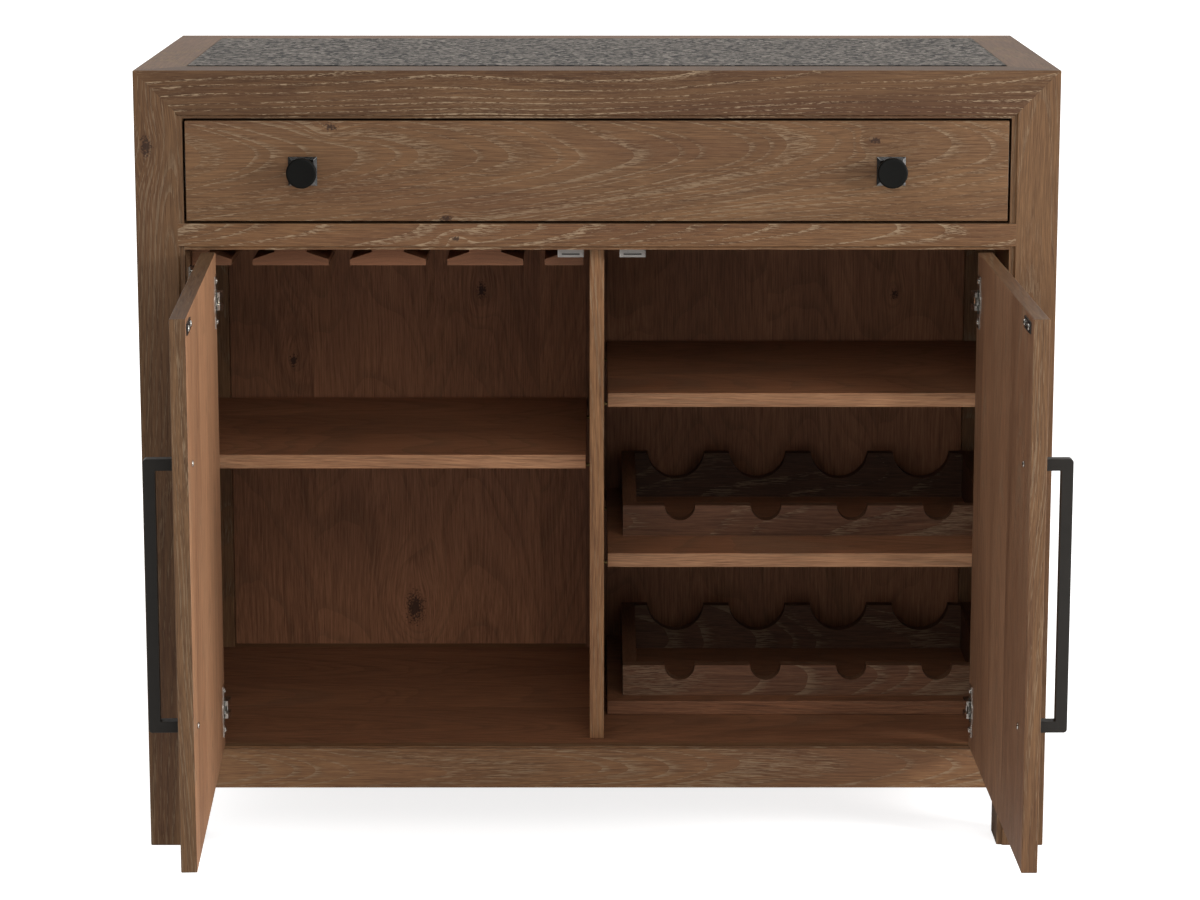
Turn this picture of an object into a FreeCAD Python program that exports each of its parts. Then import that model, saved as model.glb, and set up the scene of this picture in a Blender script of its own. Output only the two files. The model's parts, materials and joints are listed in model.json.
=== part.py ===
import FreeCAD, Part
import math
import os
import re
import Sketcher

# Bar cabinet: a mitred oak case with an inset stone top, one full-width drawer and two hinged doors.
# Behind the doors stand a glass rack, shelves and two bottle racks.
# Millimetres. +Z is up and the front looks along -Y. The origin is on the floor, at the middle of the
# space that the case and its open doors take. The doors are drawn shut and then swung open about
# their hinge axes.

SIDES = ("left", "right")
BOTTLES = 4
STEM_RAILS = 3

SIZES = {
    # the case and its frame of square members
    "case_width": 1118,
    "case_depth": 514,
    "case_height": 972,
    "post_width": 58,
    "leg_height": 75.4,
    "board_thickness": 18,
    "edge_round": 1.2,
    "foot_round": 3,
    # the stepped bead that frames each opening of the front
    "bead_width": 7.5,
    "bead_depth": 3,
    "bead_slope": 2,
    "rail_bead": 4.5,
    "apron_bead": 2,
    # sides and back
    "rear_post_depth": 30,
    "panel_recess": 3,
    "back_thickness": 8,
    "mullion_width": 30,
    # the stone and the board that carries it
    "stone_thickness": 19,
    "stone_proud": 1,
    "stone_gap": 1,
    # rails of the front
    "apron_height": 52.6,
    "drawer_opening": 128,
    "drawer_rail_height": 32,
    # the faces of the drawer and the doors
    "face_recess": 2,
    "drawer_gap": 3,
    "door_gap": 2,
    "door_clearance": 3,
    # drawer box
    "box_side": 14,
    "box_height": 95,
    "box_lift": 14,
    "box_length": 440,
    "bottom_thickness": 6,
    "groove_depth": 5,
    "groove_rise": 10,
    # ball slides, three nested channels a side
    "slide_space": 13,
    "slide_length": 450,
    "slide_height": 45,
    "slide_wall": 1.3,
    "slide_gap": 0.4,
    "slide_setback": 24,
    "middle_offset": 2.2,
    "channel_reach": 9.5,
    "runner_height": 60,
    # knobs on square plates
    "knob_spacing": 712,
    "knob_diameter": 37,
    "knob_neck": 13,
    "knob_foot": 19,
    "knob_flare": 3,
    "knob_disc": 8,
    "knob_projection": 25,
    "knob_round": 2.5,
    "plate_side": 35,
    "plate_base": 1.2,
    "plate_bevel_height": 1.8,
    "plate_bevel": 4,
    # how the doors hang
    "axis_inset": 10,
    "axis_forward": 8,
    "left_open_angle": 87.5,
    "right_open_angle": 90.6,
    # cup hinges
    "upper_hinge_drop": 57,
    "lower_hinge_rise": 51,
    "cup_diameter": 35,
    "cup_depth": 12,
    "cup_wall": 2,
    "cup_from_edge": 22.5,
    "cup_fit": 0.1,
    "flange_height": 64,
    "flange_width": 22,
    "flange_thickness": 1.5,
    "flange_rim": 2.5,
    "flange_screw_spacing": 50,
    # nested about each hinge axis: the link, then the arm's tongue between the cup's two ears
    "hinge_run": 0.4,
    "link_inner": 30.5,
    "link_thickness": 2.5,
    "link_height": 18,
    "link_inset": 7.2,
    "link_reach": 25.5,
    "link_floor_gap": 1.8,
    "tongue_thickness": 3,
    "tongue_height": 9,
    "tongue_reach": 28.5,
    "tongue_floor_gap": 2.6,
    "ear_height": 22,
    "ear_inset": 6.3,
    "ear_reach": 14,
    "arm_reach": 32,
    "hinge_plate_height": 68,
    "hinge_plate_length": 24,
    "hinge_plate_thickness": 3,
    "hinge_plate_setback": 33,
    "hinge_screw_spacing": 54,
    # door pulls, a square bar on two square legs
    "pull_length": 310,
    "pull_bar": 13,
    "pull_projection": 35.5,
    "pull_from_edge": 50,
    "pull_drop": 7,
    "pull_round": 0.8,
    "pull_corner": 4,
    # catches under the top board and their strike plates
    "catch_width": 32,
    "catch_height": 12.5,
    "catch_length": 18,
    "catch_air": 4,
    "left_catch": 32,
    "right_catch": 43.6,
    "catch_slot_width": 22,
    "catch_slot_height": 1.8,
    "catch_slot_depth": 8,
    "catch_slot_rise": 3,
    "strike_length": 46,
    "strike_height": 13,
    "strike_thickness": 1.5,
    "strike_drop": 6,
    "strike_screw_spacing": 32,
    # screws
    "screw_head": 8,
    "screw_head_height": 2,
    "screw_shank": 4,
    "screw_fit": 0.1,
    "screw_length": 12,
    "screw_in_pull": 7,
    # divider, shelves and the pins under them
    "divider_setback": 37,
    "shelf_setback": 95,
    "shelf_end_gap": 4.5,
    "shelf_side_gap": 1,
    "shelf_back_gap": 2,
    "left_shelf_height": 352.6,
    "right_shelf_height": 431.4,
    "wine_shelf_height": 225.4,
    "base_board_lip": 29,
    "pin_diameter": 5,
    "pin_length": 16,
    "pin_seat": 8,
    "pin_inset": 37,
    "pin_fit": 0.05,
    # bottle racks
    "rack_length": 254,
    "rack_divider_gap": 24.7,
    "rack_side_gap": 27.3,
    "rack_front_height": 40,
    "rack_rear_height": 60,
    "neck_radius": 19.6,
    "body_radius": 38.6,
    "body_rise": 4,
    "upper_rack_back_gap": 35,
    "lower_rack_back_gap": 54,
    # hanging rails for stemmed glasses
    "stem_slot": 26.5,
    "stem_rail_height": 28,
    "stem_edge": 7.5,
    "stem_shoulder_run": 27,
    "stem_shoulder_rise": 9,
    "stem_half_width": 48,
    "stem_end_gap": 7.5,
    "stem_side_gap": 2,
    "stem_setback": 62,
    "stem_back_gap": 42,
}

# Places worked out from the sizes.
PLACES = {
    "front": "back - case_depth",
    "back": "(case_depth + door_room) / 2",
    "door_room": "axis_forward + (axis_across - door_gap) * sin(right_open_angle)"
                 " - (axis_forward + face_recess + board_thickness) * cos(right_open_angle)",
    "half_width": "case_width / 2",
    "half_opening": "half_width - post_width",
    "side_inner": "half_width - board_thickness",
    "side_outer": "half_width - panel_recess",
    "post_back": "front + post_width",
    "rear_frame": "back - post_width",
    "rear_post_front": "back - rear_post_depth",
    "back_panel_front": "back - panel_recess - back_thickness",
    "frame_bottom": "case_height - post_width",
    "stone_face": "case_height + stone_proud",
    "stone_bed": "stone_face - stone_thickness",
    "floor_top": "leg_height + apron_height",
    "floor_bottom": "floor_top - board_thickness",
    "drawer_floor": "frame_bottom - drawer_opening",
    "ceiling": "drawer_floor - drawer_rail_height",
    "stile": "half_opening + bead_width",
    "face_front": "front + face_recess",
    "face_back": "face_front + board_thickness",
    "door_bottom": "floor_top + door_clearance",
    "door_top": "ceiling - door_clearance",
    "door_edge": "half_opening - door_gap",
    "axis_across": "half_opening - axis_inset",
    "axis_along": "front - axis_forward",
    "upper_hinge": "door_top - upper_hinge_drop",
    "lower_hinge": "door_bottom + lower_hinge_rise",
    "cup_across": "door_edge - cup_from_edge",
    "flange_back": "face_back + flange_thickness",
    "cup_floor": "face_back - cup_depth + cup_wall",
    "link_outer": "link_inner + link_thickness",
    "tongue_inner": "link_outer + hinge_run",
    "tongue_outer": "tongue_inner + tongue_thickness",
    "arm_inner": "tongue_outer + hinge_run",
    "plate_face": "half_opening - hinge_plate_thickness",
    "plate_back": "front + hinge_plate_setback + hinge_plate_length",
    "hinge_screw_along": "plate_back - hinge_plate_length / 2",
    "pull_across": "door_gap + pull_from_edge",
    "pull_middle": "(door_bottom + door_top) / 2 - pull_drop",
    "pull_leg": "pull_length / 2 - pull_bar / 2",
    "pull_front": "face_front - pull_projection",
    "catch_front": "face_back + catch_air",
    "strike_middle": "door_top - strike_drop - strike_height / 2",
    "strike_back": "face_back + strike_thickness",
    "half_divider": "board_thickness / 2",
    "shelf_front": "front + shelf_setback",
    "shelf_back": "rear_post_front - shelf_back_gap",
    "shelf_inner": "half_divider + shelf_end_gap",
    "shelf_outer": "side_inner - shelf_side_gap",
    "left_shelf_top": "floor_top + left_shelf_height",
    "right_shelf_top": "floor_top + right_shelf_height",
    "wine_shelf_top": "floor_top + wine_shelf_height",
    "base_board_top": "floor_top + board_thickness",
    "rack_inner": "half_divider + rack_divider_gap",
    "rack_outer": "side_inner - rack_side_gap",
    "rack_middle": "(rack_inner + rack_outer) / 2",
    "bottle_pitch": f"(rack_outer - rack_inner - 2 * board_thickness) / {BOTTLES}",
    "upper_rack_back": "shelf_back - upper_rack_back_gap",
    "lower_rack_back": "shelf_back - lower_rack_back_gap",
    "base_board_front": "lower_rack_back - rack_length - base_board_lip",
    "stem_span": "half_opening - stem_side_gap - half_divider - stem_end_gap",
    "stem_rail_width": f"(stem_span - 2 * stem_half_width - {STEM_RAILS + 1} * stem_slot) / {STEM_RAILS}",
    "stem_pitch": "stem_rail_width + stem_slot",
    "drawer_middle": "drawer_floor + drawer_opening / 2",
    "drawer_half": "half_opening - drawer_gap",
    "box_half": "half_opening - slide_space",
    "box_bottom": "drawer_floor + box_lift",
    "box_top": "box_bottom + box_height",
    "box_back": "face_back + box_length",
    "groove_bottom": "box_bottom + groove_rise",
    "groove_top": "groove_bottom + bottom_thickness",
    "slide_front": "front + slide_setback",
    "slide_back": "slide_front + slide_length",
}


def bound(expression):
    """Write a place or size in terms of the sheet's cells."""

    def cell(word):
        name = word.group(0)
        if name in PLACES:
            return f"({bound(PLACES[name])})"
        return f"Sizes.{name}" if name in SIZES else name

    return re.sub(r"[a-z_]+", cell, expression)


def value(expression):
    """The number that an expression gives now."""
    return float(sheet.evalExpression(bound(expression)))


def sided(side, place):
    """A distance from the middle, to the left or to the right."""
    return f"-({place})" if side == "left" else place


def side_span(side, inner, outer):
    """The span between two distances from the middle, low end first."""
    return (sided(side, outer), sided(side, inner)) if side == "left" else (inner, outer)


def around(middle, width):
    """The span of a width about its middle."""
    return (f"{middle} - ({width}) / 2", f"{middle} + ({width}) / 2")


def box(name, x_span, y_span, z_span):
    """A square-edged block."""
    piece = doc.addObject("Part::Box", name)
    for length, axis, (low, high) in zip(("Length", "Width", "Height"), "xyz", (x_span, y_span, z_span)):
        piece.setExpression(length, bound(f"({high}) - ({low})"))
        piece.setExpression(f"Placement.Base.{axis}", bound(low))
    return piece


def board(name, x_span, y_span, z_span):
    """A board with its twelve edges eased."""
    piece = doc.addObject("Part::Fillet", name)
    piece.Base = box(f"{name}_blank", x_span, y_span, z_span)
    radius = value("edge_round")
    piece.Edges = [(edge, radius, radius) for edge in range(1, 13)]
    return piece


TURNS = {
    "X": FreeCAD.Rotation(FreeCAD.Vector(0, 1, 0), 90),
    "Y": FreeCAD.Rotation(FreeCAD.Vector(1, 0, 0), -90),
    "Z": FreeCAD.Rotation(),
}


def rod(name, direction, base, length, radius):
    """A cylinder that runs from its base along X, Y or Z."""
    piece = doc.addObject("Part::Cylinder", name)
    piece.Placement = FreeCAD.Placement(FreeCAD.Vector(), TURNS[direction])
    piece.setExpression("Radius", bound(radius))
    piece.setExpression("Height", bound(length))
    for axis, place in zip("xyz", base):
        piece.setExpression(f"Placement.Base.{axis}", bound(place))
    return piece


def group(name, pieces):
    """Like pieces that share a name, each its own solid."""
    piece = doc.addObject("Part::Compound", name)
    piece.Links = pieces
    return piece


def fused(name, pieces):
    piece = doc.addObject("Part::MultiFuse", name)
    piece.Shapes = pieces
    return piece


def cut(name, base, tools):
    piece = doc.addObject("Part::Cut", name)
    piece.Base = base
    piece.Tool = group(f"{name}_tools", tools)
    return piece


def shared(name, base, tool):
    """What two shapes have in common."""
    piece = doc.addObject("Part::Common", name)
    piece.Base = base
    piece.Tool = tool
    return piece


def sketch_on(body, plane, name):
    """A sketch on one of the body's own planes: XY, XZ or YZ."""
    sketch = body.newObject("Sketcher::SketchObject", f"{body.Name}_{name}")
    support = next(feature for feature in body.Origin.OriginFeatures if feature.Role == f"{plane}_Plane")
    sketch.AttachmentSupport = [(support, "")]
    sketch.MapMode = "FlatFace"
    return sketch


def fix_point(sketch, geometry, point, place):
    """Hold one point of a sketch at a place given in sizes."""
    for kind, distance in zip(("DistanceX", "DistanceY"), place):
        held = sketch.addConstraint(Sketcher.Constraint(kind, -1, 1, geometry, point, value(distance)))
        sketch.setExpression(f"Constraints[{held}]", bound(distance))


def draw_polygon(sketch, corners):
    """A closed straight-sided outline."""
    places = [FreeCAD.Vector(value(across), value(up), 0) for across, up in corners]
    first = sketch.GeometryCount
    for number, place in enumerate(places):
        sketch.addGeometry(Part.LineSegment(place, places[(number + 1) % len(places)]), False)
    for number, corner in enumerate(corners):
        following = (number + 1) % len(corners)
        sketch.addConstraint(Sketcher.Constraint("Coincident", first + number, 2, first + following, 1))
        fix_point(sketch, first + number, 1, corner)


def draw_circle(sketch, middle, radius):
    centre = FreeCAD.Vector(value(middle[0]), value(middle[1]), 0)
    circle = sketch.addGeometry(Part.Circle(centre, FreeCAD.Vector(0, 0, 1), value(radius)), False)
    held = sketch.addConstraint(Sketcher.Constraint("Radius", circle, value(radius)))
    sketch.setExpression(f"Constraints[{held}]", bound(radius))
    fix_point(sketch, circle, 3, middle)


def prism(name, plane, corners, low, high):
    """A body padded from an outline on a plane, from low to high across that plane."""
    body = doc.addObject("PartDesign::Body", name)
    sketch = sketch_on(body, plane, "outline")
    offset = f"-({high})" if plane == "XZ" else low
    sketch.setExpression("AttachmentOffset.Base.z", bound(offset))
    draw_polygon(sketch, corners)
    pad = body.newObject("PartDesign::Pad", f"{name}_pad")
    pad.Profile = sketch
    pad.setExpression("Length", bound(f"({high}) - ({low})"))
    return body


def pocket_through(body, plane, name, polygons=(), circles=()):
    """Cut outlines right through a body, across a plane."""
    sketch = sketch_on(body, plane, name)
    for corners in polygons:
        draw_polygon(sketch, corners)
    for middle, radius in circles:
        draw_circle(sketch, middle, radius)
    pocket = body.newObject("PartDesign::Pocket", f"{body.Name}_{name}_cut")
    pocket.Profile = sketch
    pocket.Type = "ThroughAll"
    pocket.SideType = "Symmetric"


def ease(body, chosen, radius):
    """Round the chosen edges of a body."""
    doc.recompute()
    tip = body.Tip
    names = [f"Edge{number}" for number, edge in enumerate(tip.Shape.Edges, 1) if chosen(edge)]
    fillet = body.newObject("PartDesign::Fillet", f"{body.Name}_eased_{tip.Name}")
    fillet.Base = (tip, names)
    fillet.setExpression("Radius", bound(radius))


def runs_along(edge, axis):
    """Whether a straight edge runs along X, Y or Z."""
    if edge.Curve.TypeId != "Part::GeomLine":
        return False
    return math.isclose(abs(getattr(edge.Curve.Direction, axis)), 1)


def mitre(across, up, inward_across, inward_up, keeps):
    """The triangle that a member loses at a mitred corner of the case.

    The corner lies at (across, up), and the member that keeps the wood along "across" or "up"
    loses the other half of the corner square."""
    far_across = f"{across} {inward_across} post_width"
    far_up = f"{up} {inward_up} post_width"
    beside = (across, far_up) if keeps == "across" else (far_across, up)
    return [(across, up), beside, (far_across, far_up)]


doc = FreeCAD.newDocument("bar_cabinet")
sheet = doc.addObject("Spreadsheet::Sheet", "Sizes")
for row, (name, size) in enumerate(SIZES.items(), start=1):
    sheet.set(f"A{row}", name)
    sheet.set(f"B{row}", str(size))
    sheet.setAlias(f"B{row}", name)
doc.recompute()

parts = []


def keep(piece):
    """List a finished sub-part under its own name."""
    piece.Label = piece.Name
    parts.append(piece)


def inward(side):
    """The sign that leads from an outer edge of the case to its middle."""
    return "+" if side == "left" else "-"


# Top frame: four mitred members around the stone. The front one carries the bead of the drawer opening.
def ease_top(rail, axis):
    """Round the two upper edges of a member of the top frame."""
    halfway = value("case_height - post_width / 2")
    ease(rail, lambda edge: runs_along(edge, axis) and edge.Vertexes[0].Z > halfway, "edge_round")


def top_cross_rail(name, y_edge, y_inward, profile):
    rail = prism(name, "YZ", profile, "-(half_width)", "half_width")
    ease_top(rail, "x")
    corners = [(sided(side, "half_width"), inward(side)) for side in SIDES]
    pocket_through(rail, "XZ", "post_mitres",
                   [mitre(corner, "case_height", sign, "-", "across") for corner, sign in corners])
    pocket_through(rail, "XY", "side_mitres",
                   [mitre(corner, y_edge, sign, y_inward, "across") for corner, sign in corners])
    keep(rail)


top_cross_rail("top_front_rail", "front", "+", [
    ("front", "case_height"),
    ("front", "frame_bottom + rail_bead"),
    ("front + bead_depth", "frame_bottom + rail_bead - bead_slope"),
    ("front + bead_depth", "frame_bottom"),
    ("post_back", "frame_bottom"),
    ("post_back", "case_height"),
])
top_cross_rail("top_rear_rail", "back", "-", [
    ("back", "case_height"),
    ("back", "frame_bottom"),
    ("rear_frame", "frame_bottom"),
    ("rear_frame", "case_height"),
])


def top_side_rail(side):
    outer = sided(side, "half_width")
    inner = sided(side, "half_opening")
    rail = prism(f"top_{side}_rail", "XZ", [
        (outer, "case_height"),
        (inner, "case_height"),
        (inner, "frame_bottom"),
        (outer, "frame_bottom"),
    ], "front", "back")
    ease_top(rail, "y")
    ends = (("front", "+"), ("back", "-"))
    pocket_through(rail, "YZ", "post_mitres",
                   [mitre(end, "case_height", sign, "-", "across") for end, sign in ends])
    pocket_through(rail, "XY", "cross_mitres",
                   [mitre(outer, end, inward(side), sign, "up") for end, sign in ends])
    keep(rail)


for side in SIDES:
    top_side_rail(side)


# Posts: the front ones are square with the bead along the opening, the rear ones an angle in plan.
def mitred_post(name, side, y_edge, y_inward, profile):
    post = prism(name, "XY", profile, "0", "case_height")
    outer = value("half_width - edge_round")
    ease(post, lambda edge: runs_along(edge, "z") and abs(edge.Vertexes[0].X) > outer, "edge_round")
    ease(post, lambda edge: edge.BoundBox.ZMax < value("edge_round"), "foot_round / 2")
    outer_edge = sided(side, "half_width")
    pocket_through(post, "XZ", "cross_mitre",
                   [mitre(outer_edge, "case_height", inward(side), "-", "up")])
    pocket_through(post, "YZ", "side_mitre",
                   [mitre(y_edge, "case_height", y_inward, "-", "up")])
    return post


def front_post(side):
    outer, stile, inner = (sided(side, place) for place in ("half_width", "stile", "half_opening"))
    slope = sided(side, "stile - bead_slope")
    post = mitred_post(f"{side}_front_post_blank", side, "front", "+", [
        (outer, "front"),
        (stile, "front"),
        (slope, "front + bead_depth"),
        (inner, "front + bead_depth"),
        (inner, "post_back"),
        (outer, "post_back"),
    ])
    keep(cut(f"{side}_front_post", post, hinge_screw_holes(side)))


def rear_post(side):
    outer, flange, inner = (sided(side, place) for place in ("half_width", "side_inner", "half_opening"))
    keep(mitred_post(f"{side}_rear_post", side, "back", "-", [
        (outer, "back"),
        (inner, "back"),
        (inner, "rear_post_front"),
        (flange, "rear_post_front"),
        (flange, "rear_frame"),
        (outer, "rear_frame"),
    ]))


# Hinge plates on the front posts, with the arms that stand on them and their screws.
HINGES = ("upper_hinge", "lower_hinge")


def hinge_screw_heights(hinge):
    return [f"{hinge} {way} hinge_screw_spacing / 2" for way in "-+"]


def hinge_screw_holes(side):
    start, _ = side_span(side, "half_opening", "half_opening + screw_length")
    return [
        rod(f"{side}_{hinge}_{number}_hole", "X", (start, "hinge_screw_along", height), "screw_length",
            "screw_shank / 2 + screw_fit")
        for hinge in HINGES
        for number, height in enumerate(hinge_screw_heights(hinge))
    ]


for side in SIDES:
    front_post(side)
    rear_post(side)


def about_axis(name, side, hinge, radius, height):
    """A cylinder about a door's hinge axis, level with one hinge."""
    base = (sided(side, "axis_across"), "axis_along", f"{hinge} - ({height}) / 2")
    return rod(name, "Z", base, height, radius)


def past_axis(side, inset, reach):
    """The span from just short of the post to a reach on the door's side of the hinge axis."""
    return side_span(side, f"axis_across - {reach}", f"axis_across + {inset}")


def ring_piece(name, side, hinge, block, inner, outer):
    """The part of a block that lies between two radii about the hinge axis."""
    solid = shared(f"{name}_disc", block, about_axis(f"{name}_outer", side, hinge, outer, "ear_height * 2"))
    return cut(name, solid, [about_axis(f"{name}_inner", side, hinge, inner, "ear_height * 2")])


def hinge_plate(side, hinge):
    """A mounting plate on a post, its two screws, and the arm that stands on it."""
    label = f"{side}_{hinge}"
    blank = box(f"{label}_plate_blank", side_span(side, "plate_face", "half_opening"),
                ("front + hinge_plate_setback", "plate_back"), around(hinge, "hinge_plate_height"))
    plate_low, _ = side_span(side, "plate_face", "half_opening")
    head_low, _ = side_span(side, "plate_face - screw_head_height", "plate_face")
    shank_low, _ = side_span(side, "plate_face", "plate_face + screw_length")
    holes, screws = [], []
    for number, height in enumerate(hinge_screw_heights(hinge)):
        screw = f"{label}_screw_{number}"
        holes.append(rod(f"{screw}_clearance", "X", (plate_low, "hinge_screw_along", height),
                         "hinge_plate_thickness", "screw_shank / 2 + screw_fit"))
        head = rod(f"{screw}_head", "X", (head_low, "hinge_screw_along", height),
                   "screw_head_height", "screw_head / 2")
        shank = rod(f"{screw}_shank", "X", (shank_low, "hinge_screw_along", height),
                    "screw_length", "screw_shank / 2")
        screws.append(fused(screw, [head, shank]))
    block = box(f"{label}_arm_block", side_span(side, "half_opening - arm_reach", "plate_face"),
                ("flange_back + hinge_run", "plate_back"), around(hinge, "link_height"))
    stand = cut(f"{label}_arm_stand", block,
                [about_axis(f"{label}_arm_swing", side, hinge, "arm_inner", "ear_height * 2")])
    tongue_block = box(f"{label}_tongue_block", past_axis(side, "ear_inset", "tongue_reach"),
                       ("cup_floor + tongue_floor_gap", "axis_along + arm_inner + hinge_run"),
                       around(hinge, "tongue_height"))
    tongue = ring_piece(f"{label}_tongue", side, hinge, tongue_block, "tongue_inner", "arm_inner + hinge_run")
    return cut(f"{label}_plate", blank, holes), fused(f"{label}_arm", [stand, tongue]), screws


plates, arms, plate_screws = [], [], []
for side in SIDES:
    for hinge in HINGES:
        plate, arm, screws = hinge_plate(side, hinge)
        plates.append(plate)
        arms.append(arm)
        plate_screws += screws
keep(group("hinge_plates", plates))
keep(group("hinge_arms", arms))
keep(group("hinge_plate_screws", plate_screws))

# Stone top, inset in the frame and a little proud of it, on its carrying board.
keep(board("stone_top", ("-(half_opening - stone_gap)", "half_opening - stone_gap"),
           ("post_back + stone_gap", "rear_frame - stone_gap"), ("stone_bed", "stone_face")))
keep(box("top_substrate", ("-(half_opening)", "half_opening"), ("post_back", "rear_frame"),
         ("stone_bed - board_thickness", "stone_bed")))

def lapped_rail(name, rear, low, high):
    """The flush face of a rail, which laps over the beads of both posts."""
    right_half = [
        ("half_opening", rear),
        ("half_opening", "front + bead_depth"),
        ("stile - bead_slope", "front + bead_depth"),
        ("stile", "front"),
    ]
    left_half = [(f"-({across})", along) for across, along in reversed(right_half)]
    return prism(name, "XY", right_half + left_half, low, high)


# Drawer divider rail, with a bead of its own below.
rail_face = lapped_rail("drawer_rail_face", "face_back", "ceiling + rail_bead", "drawer_floor")
rail_bead = prism("drawer_rail_bead", "YZ", [
    ("front + bead_depth", "ceiling"),
    ("front + bead_depth", "ceiling + rail_bead - bead_slope"),
    ("front", "ceiling + rail_bead"),
    ("face_back", "ceiling + rail_bead"),
    ("face_back", "ceiling"),
], "-(half_opening)", "half_opening")
keep(fused("drawer_divider_rail", [rail_face, rail_bead]))

# Apron under the doors, made like the rail, with its bead along the top.
apron_face = lapped_rail("apron_face", "front + board_thickness", "leg_height", "floor_top - apron_bead")
apron_top = box("apron_top", ("-(half_opening)", "half_opening"),
                ("front + bead_depth", "front + board_thickness"), ("floor_top - apron_bead", "floor_top"))
keep(fused("apron", [apron_face, apron_top]))

# Bottom rails of the sides and the back.
side_rails = [
    box(f"{side}_bottom_rail", side_span(side, "side_inner", "half_width"), ("post_back", "rear_frame"),
        ("leg_height", "floor_top"))
    for side in SIDES
]
keep(group("side_bottom_rails", side_rails))
keep(box("rear_bottom_rail", ("-(half_opening)", "half_opening"), ("rear_post_front", "back"),
         ("leg_height", "floor_top")))


# Floor and ceiling boards, notched around the posts. The ceiling runs on back to the back panel.
def notched_board(name, board_front, rear_corners, low, high):
    right_half = [
        ("half_opening", board_front),
        ("half_opening", "post_back"),
        ("side_inner", "post_back"),
        ("side_inner", "rear_post_front"),
    ]
    right_half += rear_corners
    left_half = [(f"-({across})", along) for across, along in reversed(right_half)]
    keep(prism(name, "XY", right_half + left_half, low, high))


notched_board("floor_panel", "front + board_thickness", [], "floor_bottom", "floor_top")
notched_board("dust_panel", "face_back",
              [("half_opening", "rear_post_front"), ("half_opening", "back_panel_front")],
              "ceiling", "ceiling + board_thickness")

# Back panel, between the rear posts, and the mullion behind the divider.
keep(box("back_panel", ("-(half_opening)", "half_opening"),
         ("back_panel_front", "back_panel_front + back_thickness"), ("floor_top", "frame_bottom")))
keep(box("back_mullion", around("0", "mullion_width"), ("rear_post_front", "back_panel_front"),
         ("floor_top", "ceiling")))

# Shelves, each on four pins. A pin is named by its shelf, its end and its row.
SHELVES = {
    "left_shelf": ("left", "left_shelf_top"),
    "right_shelf": ("right", "right_shelf_top"),
    "wine_shelf": ("right", "wine_shelf_top"),
}
PIN_ROWS = {"front": "shelf_front + pin_inset", "rear": "shelf_back - pin_inset"}


def pin_rods(purpose, shelf, end, length, radius):
    """The two pins, or their holes, at one end of a shelf, running into what carries them."""
    side, top = SHELVES[shelf]
    height = f"{top} - board_thickness - pin_diameter / 2"
    if end == "side":
        span = side_span(side, f"side_inner + pin_seat - ({length})", "side_inner + pin_seat")
    else:
        span = side_span(side, "half_divider - pin_seat", f"half_divider - pin_seat + {length}")
    return [
        rod(f"{shelf}_{end}_{row}_{purpose}", "X", (span[0], along, height), length, radius)
        for row, along in PIN_ROWS.items()
    ]


def pin_holes(end, side):
    return [
        hole
        for shelf, (shelf_side, top) in SHELVES.items() if shelf_side == side
        for hole in pin_rods("hole", shelf, end, "pin_seat", "pin_diameter / 2 + pin_fit")
    ]


pins = []
for shelf, (side, top) in SHELVES.items():
    keep(board(shelf, side_span(side, "shelf_inner", "shelf_outer"), ("shelf_front", "shelf_back"),
               (f"{top} - board_thickness", top)))
    for end in ("side", "divider"):
        pins += pin_rods("pin", shelf, end, "pin_length", "pin_diameter / 2")
keep(group("shelf_pins", pins))

# Side panels between the posts, and the divider, bored for the pins.
for side in SIDES:
    panel = box(f"{side}_side_blank", side_span(side, "side_inner", "side_outer"),
                ("post_back", "rear_frame"), ("floor_top", "frame_bottom"))
    keep(cut(f"{side}_side_panel", panel, pin_holes("side", side)))
divider = board("divider_blank", ("-(half_divider)", "half_divider"),
                ("front + divider_setback", "rear_post_front"), ("floor_top", "ceiling"))
keep(cut("centre_divider", divider, pin_holes("divider", "left") + pin_holes("divider", "right")))

# Loose board on the floor of the right bay, under the lower bottle rack.
keep(board("rack_base_board", ("shelf_inner", "shelf_outer"), ("base_board_front", "shelf_back"),
           ("floor_top", "base_board_top")))

# Bottle racks: a notched front rail for the necks, a taller one behind for the bodies, two sides.
def notches(height, radius):
    steps = [number - (BOTTLES - 1) / 2 for number in range(BOTTLES)]
    return [((f"rack_middle + bottle_pitch * ({step})", height), radius) for step in steps]


def bottle_rack(name, seat, rack_back):
    rack_front = f"{rack_back} - rack_length"
    front_top = f"{seat} + rack_front_height"
    rear_top = f"{seat} + rack_rear_height"
    front_rail = prism(f"{name}_front_rail", "XZ", [
        ("rack_inner", seat),
        ("rack_outer", seat),
        ("rack_outer", front_top),
        ("rack_inner", front_top),
    ], rack_front, f"{rack_front} + board_thickness")
    pocket_through(front_rail, "XZ", "necks", circles=notches(front_top, "neck_radius"))
    keep(front_rail)
    rear_rail = prism(f"{name}_rear_rail", "XZ", [
        ("rack_inner + board_thickness", seat),
        ("rack_outer - board_thickness", seat),
        ("rack_outer - board_thickness", rear_top),
        ("rack_inner + board_thickness", rear_top),
    ], f"{rack_back} - board_thickness", rack_back)
    pocket_through(rear_rail, "XZ", "bodies", circles=notches(f"{rear_top} + body_rise", "body_radius"))
    keep(rear_rail)
    side_outline = [
        (f"{rack_front} + board_thickness", seat),
        (rack_back, seat),
        (rack_back, rear_top),
        (f"{rack_front} + board_thickness", front_top),
    ]
    keep(group(f"{name}_sides", [
        prism(f"{name}_inner_side", "YZ", side_outline, "rack_inner", "rack_inner + board_thickness"),
        prism(f"{name}_outer_side", "YZ", side_outline, "rack_outer - board_thickness", "rack_outer"),
    ]))


bottle_rack("upper_rack", "wine_shelf_top", "upper_rack_back")
bottle_rack("lower_rack", "base_board_top", "lower_rack_back")


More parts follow.
